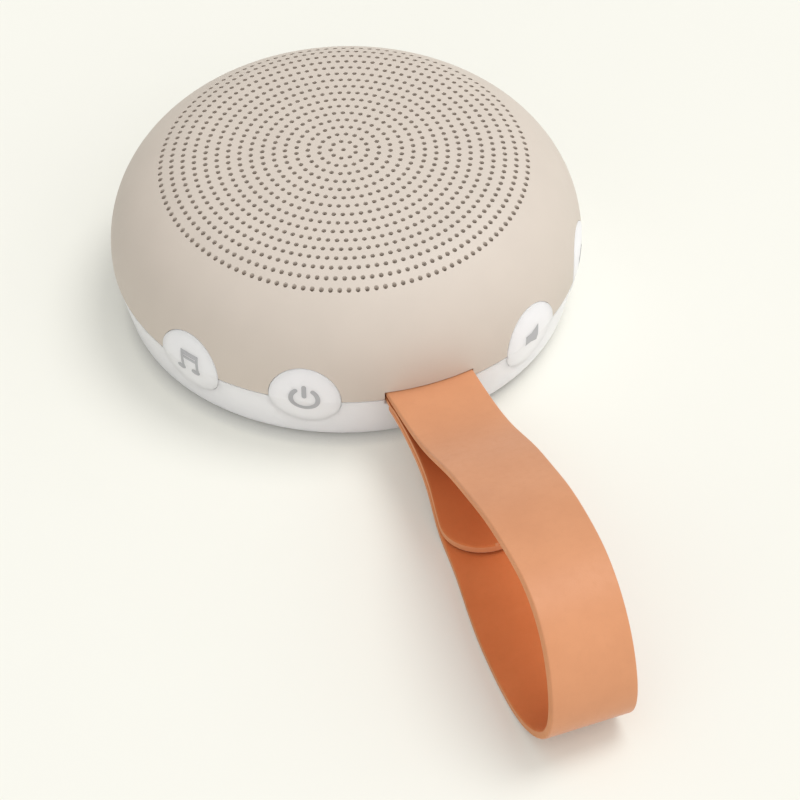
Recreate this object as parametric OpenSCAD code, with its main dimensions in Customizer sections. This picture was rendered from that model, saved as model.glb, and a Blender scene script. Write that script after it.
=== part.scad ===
// Portable white noise sound machine, in millimetres.
// The table is z = 0, +Z is up, and the strap points along -Y.

/* [Body] */
// Outside diameter of the body
body_d = 100; // [90:0.5:110]
// Height of the crown above the table
body_h = 38; // [35:0.5:42]
// Height of the seam between the two shells
seam_h = 12.5; // [12.3:0.1:13]
// Radius of the arc over the crown
crown_r = 230; // [210:5:260]
// Radius of the arc round the shoulder
shoulder_r = 21.5; // [20.5:0.25:22]
// How far the band's foot stands in from the seam's radius
band_taper = 3; // [2.5:0.25:3.5]
// Rounding of the band's lower edge
band_edge_r = 2; // [1.5:0.1:2.2]
// Wall of both shells
wall = 2.2; // [2:0.1:2.4]
// Gap between the two shells at the seam
seam_gap = 0.15; // [0.1:0.05:0.3]

/* [Holes in the crown] */
// Number of rings round the centre hole
ring_count = 16; // [12:1:16]
// Bare width from the last ring to the rim, seen from above
crown_margin = 11.44; // [11.4:0.1:14]
// Holes that each ring has more than the one inside it
ring_step = 4; // [3:1:5]
// Diameter of each hole
hole_d = 0.95; // [0.8:0.05:1.2]

/* [Buttons] */
// Radius of each button cap, as a share of the body's radius
cap_share = 0.152; // [0.14:0.002:0.156]
// Clearance round each cap
cap_gap = 0.06; // [0.05:0.01:0.2]
// How far the caps stand out of the shell
cap_proud = 0.1; // [0.05:0.05:0.4]
// Travel of each button
cap_travel = 0.6; // [0.4:0.1:0.8]
// Angle of the inner pair from the strap
inner_az = 30.3; // [29.8:0.1:31]
// Angle of the outer pair from the strap
outer_az = 61.2; // [60.6:0.1:62]

/* [Strap] */
// Width of the leather
strap_w = 19; // [17:0.5:19.5]
// Thickness of the leather
strap_t = 1.5; // [1.2:0.1:1.5]
// How far the loop reaches beyond the body
strap_out = 93; // [85:1:98]
// Height of the loop above the table
strap_h = 31; // [28:0.5:32]
// Diameter of the pin that the strap is folded round
pin_d = 2.4; // [2:0.1:2.6]

/* [Loudspeaker] */
// Outside diameter of the basket's flange
speaker_d = 54; // [53:0.5:55]
// Diameter of the magnet
magnet_d = 30; // [28:0.5:32]
// How far the cone moves each way
cone_travel = 0.8; // [0.4:0.1:1]

/* [Base] */
// How far the foot pad stands below the base
foot_proud = 0.4; // [0.3:0.1:0.9]
// Thickness of the circuit board
pcb_t = 1.6; // [1.2:0.1:1.6]
// Width of the battery, as a share of its length
battery_share = 0.68; // [0.6:0.02:0.68]
// Thickness of the battery
battery_t = 4.6; // [4:0.1:5]

/* [Hidden] */
// Shell outline
body_r = body_d / 2;
shoulder_x = body_r - shoulder_r;
crown_z = body_h - crown_r;
shoulder_z = crown_z + sqrt(pow(crown_r - shoulder_r, 2) - pow(shoulder_x, 2));
base_z = foot_proud;
floor_z = base_z + wall;
seam_r = shoulder_x + sqrt(pow(shoulder_r, 2) - pow(seam_h - shoulder_z, 2));
band_low_r = body_r - band_taper;
band_a = atan((seam_r - band_low_r) / (seam_h - base_z));
ring_pitch = (body_r - crown_margin) / ring_count;
big = 2 * body_d;
fine = 128;
arc_fn = 180;
hole_fn = 16;
crown_fn = 720;
eps = 0.01;
cut = 1;

// Inner faces that other pieces are set against
function dome_in_z(r, off) = crown_z + sqrt(pow(crown_r - off, 2) - r * r);
function dome_in_r(z, off) = shoulder_x + sqrt(pow(shoulder_r - off, 2) - pow(z - shoulder_z, 2));
function band_in_r(z, off) = band_low_r + (z - base_z) * tan(band_a) - off / cos(band_a);

// Lip that centres the top shell
lip_gap = 0.15;
lip_t = 1.2;
lip_up = 2;
lip_down = 3;
lip_r = dome_in_r(seam_h, wall) - lip_gap;

// Screws: one size for case and frame
screw_d = 2;
screw_hole_d = 2.4;
screw_pilot_d = 2.1;
head_d = 4.2;
head_h = 1.4;
head_hole_d = 4.8;
socket_d = 1.8;
socket_h = 0.8;
case_post_d = 5.6;
case_post_in = 8;
case_post_r = body_r - case_post_in;
case_azs = [46, 134, 226, 314];
post_up = 0.9;
case_split = seam_h + post_up;
split_gap = 0.1;
case_screw_l = 15;
frame_grip = 6.5;
pilot_spare = 1;
frame_post_d = 6.4;
post_pitch = 9;
frame_post_r = case_post_r - post_pitch;
frame_azs = [45, 135, 225, 315];

// Foot pad, clear of the case screws
foot_seat = 0.7;
foot_gap = 0.1;
foot_clear = 3.1;
pad_glue = 0.02;
foot_r = case_post_r - head_hole_d / 2 - foot_clear;

// Buttons and switches
cap_azs = [-inner_az, -outer_az, inner_az, outer_az];
cap_r = cap_share * body_r;
button_up = 0.7;
button_z = seam_h + button_up;
cap_root = 9;
cap_block = 14;
flange_extra = 0.9;
flange_room = 0.6;
flange_gap = 0.12;
flange_t = 1;
stem_d = 4;
switch_w = 6;
switch_h = 3.8;
switch_l = 3.4;
switch_in = 7;
switch_front = body_r - switch_in;
plunger_d = 1.9;
plunger_gap = 0.08;
plunger_out = 1.2;
plunger_in = 1.4;
bottom_gap = 0.2;
push_gap = 0.05;
push_face = switch_front + plunger_out;

// Circuit board
pcb_in = 7.4;
pcb_r = body_r - pcb_in;
pcb_top = button_z - switch_h / 2;
pcb_z = pcb_top - pcb_t;
tab_in = 5.6;
pcb_tab_w = 24;
pcb_tab_r = body_r - tab_in;
post_clear = 0.5;
ear_clear = 1.4;

// What stands on the board: rows of chips, round capacitors and a coil
chip_w = 6;
chip_t = 1;
chip_row = 24;
chip_col = 13;
can_d = 5;
can_h = 5.4;
can_base = 5.4;
can_base_h = 0.9;
can_r = pcb_r - 2 * can_base;
can_azs = [73, 100, 254];
coil_w = 6;
coil_h = 2.8;
coil_x = 10;
coil_y = pcb_r - 2 * coil_w;
coil_dent_d = 3.6;
coil_dent = 0.3;

// Charging socket and its lamp
usb_w = 8.9;
usb_h = 3.2;
usb_l = 7.3;
usb_wall = 0.3;
usb_back = 1.2;
usb_in = 2.2;
usb_front = body_r - usb_in;
usb_z = pcb_z - usb_h / 2;
usb_gap = 0.25;
tongue_w = 6.7;
tongue_t = 0.7;
tongue_l = 5;
lamp_x = 10;
lamp_d = 2;
lamp_gap = 0.05;
lamp_in = 6.8;
led_front = body_r - lamp_in;
led_w = 3.2;
led_l = 2;
led_gap = 0.4;

// Battery, plugs and leads
battery_l = body_r;
battery_w = battery_share * battery_l;
battery_edge_r = 2;
pad_t = 0.5;
pad_in = 2;
battery_z = floor_z + pad_t;
plug_w = 6;
plug_l = 4;
plug_h = 2.4;
lead_d = 1.2;
lead_x = 1.3;
lead_l = 2.4;
battery_plug_y = battery_l / 2 + lead_l;
battery_lead_z = battery_z + battery_t - lead_d / 2;

// Loudspeaker stack, from the flange down to a yoke that clears the board
cloth_gap = 0.08;
cloth_t = 0.3;
cloth_side = 0.1;
cloth_r = case_post_r - case_post_d / 2 - cloth_side;
flange_r = speaker_d / 2;
speaker_room = 4.7;
flange_top = dome_in_z(flange_r, wall) - speaker_room;
basket_t = 0.8;
gasket_t = 0.8;
gasket_w = 3.7;
gasket_in_r = flange_r - gasket_w;
baffle_t = 1.8;
baffle_in = 13.6;
baffle_r = body_r - baffle_in;
hole_under = 0.1;
baffle_hole_r = gasket_in_r - hole_under;
baffle_top = flange_top - basket_t - gasket_t;
baffle_z = baffle_top - baffle_t;
yoke_room = 1.8;
yoke_z = pcb_top + yoke_room;
yoke_t = 1.6;
yoke_in = 1;
yoke_r = magnet_d / 2 - yoke_in;
pole_r = 6;
magnet_hole = 0.6;
plate_t = 2;
coil_up = 3;
cone_drop = 4.3;
magnet_z = yoke_z + yoke_t;
magnet_t = flange_top - cone_drop - coil_up - plate_t - magnet_z;
plate_z = magnet_z + magnet_t;
plate_top = plate_z + plate_t;
coil_wall = 0.35;
coil_air = 0.25;
coil_in_r = pole_r + coil_air;
coil_out_r = coil_in_r + coil_wall;
winding_r = coil_out_r + coil_wall;
plate_in_r = winding_r + coil_air;
magnet_in_r = plate_in_r + magnet_hole;
coil_share = 0.44;
coil_low = plate_z - coil_share * magnet_t;
coil_top = plate_top + coil_up;
winding_up = 1.1;
winding_h = plate_top + winding_up - coil_low;

// Basket, cone and the soft parts round it
cup_wall = 4.4;
cup_r = flange_r - cup_wall;
step_out = 2.4;
step_r = yoke_r + step_out;
step_up = 1.9;
step_z = plate_top + step_up;
spider_t = 0.3;
spider_wave = 0.4;
spider_waves = 4;
spider_side = 0.05;
spider_drop = 0.2;
spider_z = step_z - spider_drop;
glue = 0.03;
roll_t = 0.4;
roll_w = 4;
cone_r = cup_r - roll_w;
cone_rim = 1.2;
cone_t = 0.5;
rim_up = 0.1;
cone_top = flange_top + rim_up;
roll_r = roll_w / 2;
rim_w = 0.8;
rim_r = cup_r + rim_w;
dust_out = 1.6;
dust_cap_r = coil_out_r + dust_out;
dust_cap_h = 2;
dust_cap_t = 0.4;
screw_edge = 1.9;
speaker_screw_r = flange_r - screw_edge;
speaker_azs = [0, 90, 180, 270];
speaker_head_d = 3.2;
speaker_head_h = 1.1;
speaker_socket_d = 1.4;
speaker_socket_h = 0.6;
speaker_screw_d = 1.6;
speaker_screw_l = 5;
speaker_hole_d = 1.8;
speaker_boss_d = 4.4;
speaker_boss_h = 3.2;
boss_floor = 0.6;
basket_window = 12;
window_h = 8;
gusset_t = 1.5;
gusset_l = 8;
gusset_h = 6;
tag_gap = 0.3;
tag_x = -(step_r + basket_t + tag_gap);
tag_w = 7;
tag_t = 0.8;
tag_up = 0.2;
tag_z = plate_z + tag_up;
tag_h = 3.6;
speaker_plug_x = tag_x - tag_t / 2;

// Strap: the slot and the pin
slot_up = 0.5;
slot_z = seam_h + slot_up;
slot_spare = 0.6;
slot_h = 2 * strap_t + slot_spare;
slot_side = 0.2;
slot_depth = 8;
pin_in = 6.8;
pin_y = body_r - pin_in;
pin_clear = 0.15;
pin_hole_gap = 0.05;
ear_w = 3;
ear_side = 0.3;
ear_in_x = strap_w / 2 + slot_side + ear_side;
ear_half = 2.2;
ear_up = 2.6;
pin_l = 2 * (ear_in_x + ear_w);
layer_gap = 0.06;
mouth_out = 1.8;
bend_y = body_r + mouth_out;
bend_gap = 0.05;
fold_straight = 4;
wrap_r = pin_d / 2 + pin_clear + strap_t / 2;
top_line_z = slot_z + strap_t / 2 + layer_gap / 2;
low_line_z = slot_z - strap_t / 2 - layer_gap / 2;

// Strap: middle line of the loop, as [distance from the axis, height], in curved stretches of four points.
// The distances from the body, and the pulls of the curves, are named first.
steps = 12;
front_z = 11.5;
crest_in = 24;
rise_out = 36;
rise_z = 23.7;
rise_slope = 0.41;
toe_in = 13;
land_out = 38;
tail_short = 0.2;
tail_out = land_out - tail_short;
soft = 10;
strip_gap = 0.3;
strip_sink = 0.02;
front_y = body_r + strap_out - strap_t / 2;
crest_y = body_r + strap_out - crest_in;
crest_z = strap_h - strap_t / 2;
rise_y = body_r + rise_out;
toe_y = body_r + strap_out - toe_in;
land_y = body_r + land_out;
tail_end_y = body_r + tail_out;
ground_z = strap_t / 2;
rise_pull = [soft, rise_slope * soft];
mouth_pull = 1.4 * soft;
land_pull = 1.6 * soft;
strip_start = [bend_y + strip_gap, low_line_z - strap_t + strip_sink];
strip_pull = [0.8 * soft, -0.17 * soft];
lower_run = [strip_start, strip_start + strip_pull, [land_y - land_pull, ground_z], [land_y, ground_z]];
tail_run = [for (p = lower_run) p + [0, strap_t]];
tail_lead = [-0.2 * soft, 0.015 * soft];
front_low = [
  [toe_y, ground_z], [toe_y + 0.55 * soft, ground_z],
  [front_y, front_z - 0.7 * soft], [front_y, front_z]
];
front_high = [
  [front_y, front_z], [front_y, crest_z - 0.8 * soft],
  [front_y - soft, crest_z], [crest_y, crest_z]
];
top_fall = [
  [crest_y, crest_z], [crest_y - 1.1 * soft, crest_z],
  [rise_y, rise_z] + 0.8 * rise_pull, [rise_y, rise_z]
];
top_run = [
  [rise_y, rise_z], [rise_y, rise_z] - rise_pull,
  [bend_y + mouth_pull, top_line_z - 0.05 * soft], [bend_y, top_line_z]
];

// ---------------------------------------------------------------- helpers

// Point at t on the curve of four points p
function bez(p, t) = pow(1 - t, 3) * p[0] + 3 * t * pow(1 - t, 2) * p[1]
  + 3 * t * t * (1 - t) * p[2] + pow(t, 3) * p[3];
// First n points of that curve
function run(p, n = steps) = [for (i = [0 : n - 1]) bez(p, i / n)];
// Direction of a line of points at its point i
function heading(p, i) = let (d = p[min(i + 1, len(p) - 1)] - p[max(i - 1, 0)]) d / norm(d);
// The same line, moved sideways by d
function beside(p, d) = [for (i = [0 : len(p) - 1]) let (h = heading(p, i)) p[i] + d * [-h[1], h[0]]];
function backwards(p) = [for (i = [len(p) - 1 : -1 : 0]) p[i]];

// Strip of leather along a middle line
module band_along(p, t) {
  polygon(concat(beside(p, t / 2), backwards(beside(p, -t / 2))));
}

// Turns a flat [distance from the axis, height] shape into a strip across the strap's width
module across(w) {
  rotate([90, 0, -90]) translate([0, 0, -w / 2]) linear_extrude(w) children();
}

// Turns a shape that points along +Z so that it points out of the body, at an angle from the strap
module facing(az, z = button_z) {
  rotate([0, 0, az]) translate([0, 0, z]) rotate([90, 0, 0]) children();
}

// Ring of rectangular section
module ring(r_in, r_out, z_low, h) {
  translate([0, 0, z_low]) difference() {
    cylinder(r = r_out, h = h, $fn = fine);
    translate([0, 0, -cut]) cylinder(r = r_in, h = h + 2 * cut, $fn = fine);
  }
}

// Half section of the dome above the seam, set in by off
module dome_2d(off, low = seam_h) {
  intersection() {
    translate([0, low]) square([body_d, body_h]);
    union() {
      translate([shoulder_x, shoulder_z]) circle(r = shoulder_r - off, $fn = arc_fn);
      intersection() {
        translate([0, crown_z]) circle(r = crown_r - off, $fn = crown_fn);
        polygon([[0, crown_z], [0, big], [shoulder_x * (big - crown_z) / (shoulder_z - crown_z), big]]);
      }
    }
  }
}

// Half section of the band below the seam, set in by off, from a height up
module band_2d(off, low, up = seam_h) {
  polygon([[0, low], [band_in_r(low, off), low], [band_in_r(up, off), up], [0, up]]);
}

// Half section of the base's outside, with its rounded lower edge
module base_outer_2d(up) {
  f = band_edge_r;
  fx = band_low_r + f * tan(band_a) - f / cos(band_a);
  fz = base_z + f;
  union() {
    polygon([
      [0, base_z], [fx, base_z], [fx + f * cos(band_a), fz - f * sin(band_a)],
      [band_in_r(up, 0), up], [0, up]
    ]);
    translate([fx, fz]) circle(r = f, $fn = 64);
  }
}

// Solid of the whole body, set in by off: a negative off stands proud
module body_solid(off) {
  rotate_extrude($fn = fine) union() {
    dome_2d(off);
    band_2d(off, base_z, seam_h + eps);
  }
}

// Window in both shells for one button
module cap_window(az) {
  facing(az) translate([0, 0, body_r - cap_root]) cylinder(r = cap_r + cap_gap, h = cap_block, $fn = 96);
}

// Slot in both shells for the strap
module strap_slot() {
  w = strap_w + 2 * slot_side;
  translate([-w / 2, -body_r - cut, slot_z - slot_h / 2]) cube([w, slot_depth, slot_h]);
}

// A screw pointing up, its head's underside at z = 0
module case_screw(l) {
  difference() {
    union() {
      translate([0, 0, -head_h]) cylinder(d = head_d, h = head_h, $fn = 32);
      cylinder(d = screw_d, h = l, $fn = 24);
    }
    translate([0, 0, -head_h - eps]) cylinder(d = socket_d, h = socket_h, $fn = 6);
  }
}

// ---------------------------------------------------------------- shells

// All holes of the crown, drawn flat
module crown_holes_2d() {
  circle(d = hole_d, $fn = hole_fn);
  for (k = [1 : ring_count]) {
    n = ring_step * k + 1;
    for (i = [0 : n - 1]) rotate(360 * i / n) translate([ring_pitch * k, 0])
      circle(d = hole_d, $fn = hole_fn);
  }
}

module top_shell() {
  color([0.80, 0.73, 0.66]) difference() {
    union() {
      rotate_extrude($fn = fine) difference() {
        dome_2d(0, seam_h + seam_gap);
        dome_2d(wall, 0);
      }
      intersection() {
        for (a = case_azs) rotate(a) translate([0, -case_post_r, case_split + split_gap])
          cylinder(d = case_post_d, h = body_h, $fn = 48);
        rotate_extrude($fn = fine) dome_2d(wall / 2);
      }
    }
    for (a = case_azs) rotate(a) translate([0, -case_post_r, 0])
      cylinder(d = screw_pilot_d, h = floor_z + case_screw_l + pilot_spare, $fn = 24);
    for (a = cap_azs) cap_window(a);
    strap_slot();
    translate([0, 0, shoulder_z]) linear_extrude(body_h) crown_holes_2d();
  }
}

module acoustic_cloth() {
  color([0.10, 0.10, 0.10]) intersection() {
    rotate_extrude($fn = fine) difference() {
      dome_2d(wall + cloth_gap, shoulder_z);
      dome_2d(wall + cloth_gap + cloth_t, shoulder_z - cut);
    }
    cylinder(r = cloth_r, h = body_h, $fn = fine);
  }
}

// Outline of the base's inside
module base_room() {
  rotate_extrude($fn = fine) band_2d(wall, floor_z, seam_h + cut);
}

module base_lip() {
  difference() {
    ring(lip_r - lip_t, lip_r, seam_h - lip_down, lip_down + lip_up);
    for (a = cap_azs) facing(a) translate([0, 0, body_r - cap_root])
      cylinder(r = cap_r + flange_extra + flange_room, h = cap_block, $fn = 64);
    translate([-ear_in_x, -body_r, seam_h - lip_down - cut])
      cube([2 * ear_in_x, slot_depth, lip_down + lip_up + 2 * cut]);
  }
}

module pin_ears() {
  for (s = [-1, 1]) translate([s > 0 ? ear_in_x : -ear_in_x - ear_w, -pin_y - ear_half, floor_z - eps])
    cube([ear_w, 2 * ear_half, slot_z + ear_up - floor_z]);
}

module usb_slot_2d() {
  r = usb_h / 2 + usb_gap;
  x = usb_w / 2 - usb_h / 2;
  for (s = [-1, 1]) translate([s * x, 0]) circle(r = r, $fn = 48);
  square([2 * x, 2 * r], center = true);
}

module base_shell() {
  color([0.92, 0.92, 0.92]) difference() {
    union() {
      difference() {
        rotate_extrude($fn = fine) base_outer_2d(seam_h);
        base_room();
      }
      base_lip();
      pin_ears();
      for (a = case_azs) rotate(a) translate([0, -case_post_r, floor_z - eps])
        cylinder(d = case_post_d, h = case_split - floor_z, $fn = 48);
      for (a = frame_azs) rotate(a) translate([0, -frame_post_r, floor_z - eps])
        cylinder(d = frame_post_d, h = pcb_z - floor_z, $fn = 48);
    }
    for (a = case_azs) rotate(a) translate([0, -case_post_r, 0]) {
      cylinder(d = screw_hole_d, h = body_h, $fn = 32);
      cylinder(d = head_hole_d, h = floor_z, $fn = 32);
    }
    for (a = frame_azs) rotate(a) translate([0, -frame_post_r, 0]) {
      cylinder(d = screw_hole_d, h = body_h, $fn = 32);
      cylinder(d = head_hole_d, h = floor_z, $fn = 32);
    }
    cylinder(r = foot_r + foot_gap, h = base_z + foot_seat, $fn = fine);
    for (a = cap_azs) cap_window(a);
    strap_slot();
    translate([-pin_l / 2 - cut, -pin_y, slot_z]) rotate([0, 90, 0])
      cylinder(d = pin_d + 2 * pin_hole_gap, h = pin_l + 2 * cut, $fn = 32);
    facing(180, usb_z) translate([0, 0, body_r - cap_root]) linear_extrude(cap_block) usb_slot_2d();
    facing(180, usb_z) translate([-lamp_x, 0, body_r - cap_root])
      cylinder(d = lamp_d + 2 * lamp_gap, h = cap_block, $fn = 32);
  }
}

module foot_pad() {
  color([0.35, 0.35, 0.36]) cylinder(r = foot_r, h = base_z + foot_seat - pad_glue, $fn = fine);
}

module case_screws() {
  color([0.62, 0.62, 0.64]) for (a = case_azs) rotate(a) translate([0, -case_post_r, floor_z])
    case_screw(case_screw_l);
}

// ---------------------------------------------------------------- frame and electronics

module inner_frame() {
  leg_top = baffle_z + eps;
  color([0.16, 0.16, 0.17]) difference() {
    union() {
      ring(baffle_hole_r, baffle_r, baffle_z, baffle_t);
      for (a = frame_azs) rotate(a) translate([0, -frame_post_r, pcb_top])
        cylinder(d = frame_post_d, h = leg_top - pcb_top, $fn = 48);
      for (a = frame_azs) rotate(a) translate([-gusset_t / 2, -frame_post_r, leg_top - gusset_h])
        cube([gusset_t, gusset_l, gusset_h]);
      for (a = speaker_azs) rotate(a) translate([0, -speaker_screw_r, baffle_z - speaker_boss_h])
        cylinder(d = speaker_boss_d, h = speaker_boss_h + eps, $fn = 32);
    }
    for (a = frame_azs) rotate(a) translate([0, -frame_post_r, pcb_top - cut])
      cylinder(d = screw_pilot_d, h = cut + frame_grip + pilot_spare, $fn = 24);
    for (a = speaker_azs) rotate(a) translate([0, -speaker_screw_r, baffle_z - speaker_boss_h + boss_floor])
      cylinder(d = speaker_hole_d, h = big, $fn = 24);
  }
}

module frame_screws() {
  color([0.62, 0.62, 0.64]) for (a = frame_azs) rotate(a) translate([0, -frame_post_r, floor_z])
    case_screw(pcb_top - floor_z + frame_grip);
}

module main_pcb() {
  front_cut = pin_y - ear_half - ear_clear;
  front_w = 2 * (ear_in_x + ear_w + ear_clear);
  color([0.10, 0.32, 0.20]) translate([0, 0, pcb_z]) difference() {
    union() {
      cylinder(r = pcb_r, h = pcb_t, $fn = fine);
      translate([-pcb_tab_w / 2, 0, 0]) cube([pcb_tab_w, pcb_tab_r, pcb_t]);
    }
    for (a = case_azs) rotate(a) translate([0, -case_post_r, -cut])
      cylinder(d = case_post_d + 2 * post_clear, h = pcb_t + 2 * cut, $fn = 48);
    for (a = frame_azs) rotate(a) translate([0, -frame_post_r, -cut])
      cylinder(d = screw_hole_d, h = pcb_t + 2 * cut, $fn = 32);
    translate([-front_w / 2, -pcb_r - cut, -cut])
      cube([front_w, pcb_r + cut - front_cut, pcb_t + 2 * cut]);
  }
}

module chip(x, y, w, l, h) {
  translate([x - w / 2, y - l / 2, pcb_top]) cube([w, l, h]);
}

module pcb_chips() {
  color([0.09, 0.09, 0.10]) {
    chip(0, -chip_row, 1.2 * chip_w, 1.2 * chip_w, chip_t);
    chip(-chip_col, -chip_row + chip_w / 3, 0.8 * chip_w, 0.7 * chip_w, 1.3 * chip_t);
    chip(0, chip_row, chip_w, 0.8 * chip_w, chip_t);
    chip(chip_col, chip_row - chip_w, 0.7 * chip_w, 0.7 * chip_w, 0.9 * chip_t);
  }
}

module pcb_capacitors() {
  color([0.72, 0.73, 0.75]) for (a = can_azs) rotate(a) translate([0, -can_r, pcb_top]) {
    cylinder(d = can_d, h = can_h, $fn = 32);
    translate([-can_base / 2, -can_base / 2, 0]) cube([can_base, can_base, can_base_h]);
  }
}

module power_inductor() {
  color([0.30, 0.30, 0.32]) difference() {
    chip(coil_x, coil_y, coil_w, coil_w, coil_h);
    translate([coil_x, coil_y, pcb_top + coil_h - coil_dent]) cylinder(d = coil_dent_d, h = cut, $fn = 32);
  }
}

module usb_c_connector() {
  r = usb_h / 2;
  x = usb_w / 2 - r;
  ri = r - usb_wall;
  color([0.75, 0.76, 0.78]) facing(180, usb_z) difference() {
    translate([0, 0, usb_front - usb_l]) linear_extrude(usb_l) union() {
      for (s = [-1, 1]) translate([s * x, 0]) circle(r = r, $fn = 48);
      square([2 * x, 2 * r], center = true);
    }
    translate([0, 0, usb_front - usb_l + usb_back]) linear_extrude(usb_l) union() {
      for (s = [-1, 1]) translate([s * x, 0]) circle(r = ri, $fn = 48);
      square([2 * x, 2 * ri], center = true);
    }
  }
}

module usb_c_tongue() {
  back = usb_front - usb_l + usb_back;
  color([0.12, 0.12, 0.13]) facing(180, usb_z) translate([-tongue_w / 2, -tongue_t / 2, back])
    cube([tongue_w, tongue_t, tongue_l]);
}

module battery_connector() {
  color([0.90, 0.88, 0.80]) translate([-plug_w / 2, battery_plug_y, pcb_z - plug_h])
    cube([plug_w, plug_l, plug_h]);
}

module speaker_connector() {
  color([0.90, 0.88, 0.80]) translate([speaker_plug_x - plug_l / 2, -plug_w / 2, pcb_top])
    cube([plug_l, plug_w, plug_h]);
}

module tact_switches() {
  color([0.20, 0.20, 0.21]) for (a = cap_azs) facing(a) difference() {
    translate([-switch_w / 2, -switch_h / 2, switch_front - switch_l]) cube([switch_w, switch_h, switch_l]);
    translate([0, 0, switch_front - plunger_in - cap_travel - bottom_gap])
      cylinder(d = plunger_d + 2 * plunger_gap, h = big, $fn = 32);
  }
}

module plunger(az) {
  color([0.85, 0.83, 0.78]) facing(az) translate([0, 0, switch_front - plunger_in])
    cylinder(d = plunger_d, h = plunger_in + plunger_out, $fn = 32);
}

module power_switch_plunger() {
  plunger(-inner_az);
}

module sound_switch_plunger() {
  plunger(-outer_az);
}

module volume_down_switch_plunger() {
  plunger(inner_az);
}

module volume_up_switch_plunger() {
  plunger(outer_az);
}

// A cap whose face follows the shell, a flange behind the wall, and a stem down to the switch
module button(az) {
  stem_out = body_r - wall - flange_gap - flange_t / 2;
  stem_in = push_face + push_gap;
  color([0.94, 0.94, 0.94]) {
    difference() {
      union() {
        intersection() {
          facing(az) translate([0, 0, body_r - cap_root]) cylinder(r = cap_r, h = cap_block, $fn = 96);
          body_solid(-cap_proud);
        }
        intersection() {
          facing(az) translate([0, 0, body_r - cap_root])
            cylinder(r = cap_r + flange_extra, h = cap_block, $fn = 96);
          body_solid(wall + flange_gap);
        }
      }
      body_solid(wall + flange_gap + flange_t);
    }
    facing(az) translate([0, 0, stem_in]) cylinder(d = stem_d, h = stem_out - stem_in, $fn = 32);
  }
}

module power_button() {
  button(-inner_az);
}

module sound_button() {
  button(-outer_az);
}

module volume_down_button() {
  button(inner_az);
}

module volume_up_button() {
  button(outer_az);
}

module battery() {
  w = battery_w / 2 - battery_edge_r;
  color([0.75, 0.76, 0.78]) translate([0, 0, battery_z]) intersection() {
    union() {
      translate([-battery_w / 2 + battery_edge_r, -battery_l / 2, 0]) cube([2 * w, battery_l, battery_t]);
      for (s = [-1, 1]) translate([s * w, battery_l / 2, battery_t / 2]) rotate([90, 0, 0])
        cylinder(r = max(battery_edge_r, battery_t / 2), h = battery_l, $fn = 48);
    }
    translate([-battery_w / 2, -battery_l / 2, 0]) cube([battery_w, battery_l, battery_t]);
  }
}

module battery_pad() {
  w = battery_w - 2 * (battery_edge_r + pad_in);
  l = battery_l - 2 * pad_in;
  color([0.25, 0.25, 0.26]) translate([-w / 2, -l / 2, floor_z]) cube([w, l, pad_t]);
}

module battery_leads() {
  color([0.75, 0.10, 0.08]) for (s = [-1, 1]) translate([s * lead_x, battery_plug_y, battery_lead_z])
    rotate([90, 0, 0]) cylinder(d = lead_d, h = battery_plug_y - battery_l / 2, $fn = 24);
}

module speaker_leads() {
  color([0.15, 0.15, 0.16]) for (s = [-1, 1]) translate([speaker_plug_x, s * lead_x, pcb_top + plug_h])
    cylinder(d = lead_d, h = tag_z - pcb_top - plug_h, $fn = 24);
}

module charge_led() {
  color([0.95, 0.95, 0.90]) facing(180, usb_z)
    translate([-lamp_x - led_w / 2, -usb_h / 2, led_front - led_l - led_gap]) cube([led_w, usb_h, led_l]);
}

module charge_light_pipe() {
  color([0.90, 0.95, 1.00]) intersection() {
    facing(180, usb_z) translate([-lamp_x, 0, led_front]) cylinder(d = lamp_d, h = cap_block, $fn = 32);
    body_solid(0);
  }
}

// ---------------------------------------------------------------- loudspeaker

module speaker_gasket() {
  color([0.12, 0.12, 0.12]) difference() {
    ring(gasket_in_r, flange_r, baffle_top, gasket_t);
    for (a = speaker_azs) rotate(a) translate([0, -speaker_screw_r, baffle_top - cut])
      cylinder(d = speaker_hole_d, h = gasket_t + 2 * cut, $fn = 24);
  }
}

module speaker_basket() {
  t = basket_t;
  low = flange_top - t;
  hole_r = plate_in_r + tag_gap;
  color([0.45, 0.46, 0.48]) difference() {
    rotate_extrude($fn = fine) polygon([
      [hole_r, plate_top], [step_r + t, plate_top], [step_r + t, step_z], [cup_r, low],
      [flange_r, low], [flange_r, flange_top], [cup_r - t, flange_top], [step_r, step_z + t / 2],
      [step_r, plate_top + t], [hole_r, plate_top + t]
    ]);
    for (a = speaker_azs) rotate(a) translate([0, -speaker_screw_r, low - cut])
      cylinder(d = speaker_hole_d, h = t + 2 * cut, $fn = 24);
    for (a = frame_azs) rotate(a) translate([-basket_window / 2, -cup_r - cut, step_z + t])
      cube([basket_window, window_h, low - step_z - 2 * t]);
  }
}

module speaker_magnet() {
  color([0.20, 0.20, 0.21]) ring(magnet_in_r, magnet_d / 2, magnet_z, magnet_t);
}

module speaker_yoke() {
  color([0.60, 0.61, 0.63]) union() {
    translate([0, 0, yoke_z]) cylinder(r = yoke_r, h = yoke_t, $fn = fine);
    translate([0, 0, magnet_z - eps]) cylinder(r = pole_r, h = magnet_t + plate_t + eps, $fn = 96);
  }
}

module speaker_top_plate() {
  color([0.60, 0.61, 0.63]) ring(plate_in_r, yoke_r, plate_z, plate_t);
}

module speaker_spider() {
  r0 = coil_out_r + spider_side + spider_t / 2;
  r1 = step_r - spider_side - spider_t / 2;
  n = 12 * spider_waves;
  line = [for (i = [0 : n])
    [r0 + (r1 - r0) * i / n, spider_z - spider_wave * sin(360 * spider_waves * i / n)]];
  color([0.80, 0.66, 0.40]) rotate_extrude($fn = fine)
    band_along(line, spider_t);
}

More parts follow.
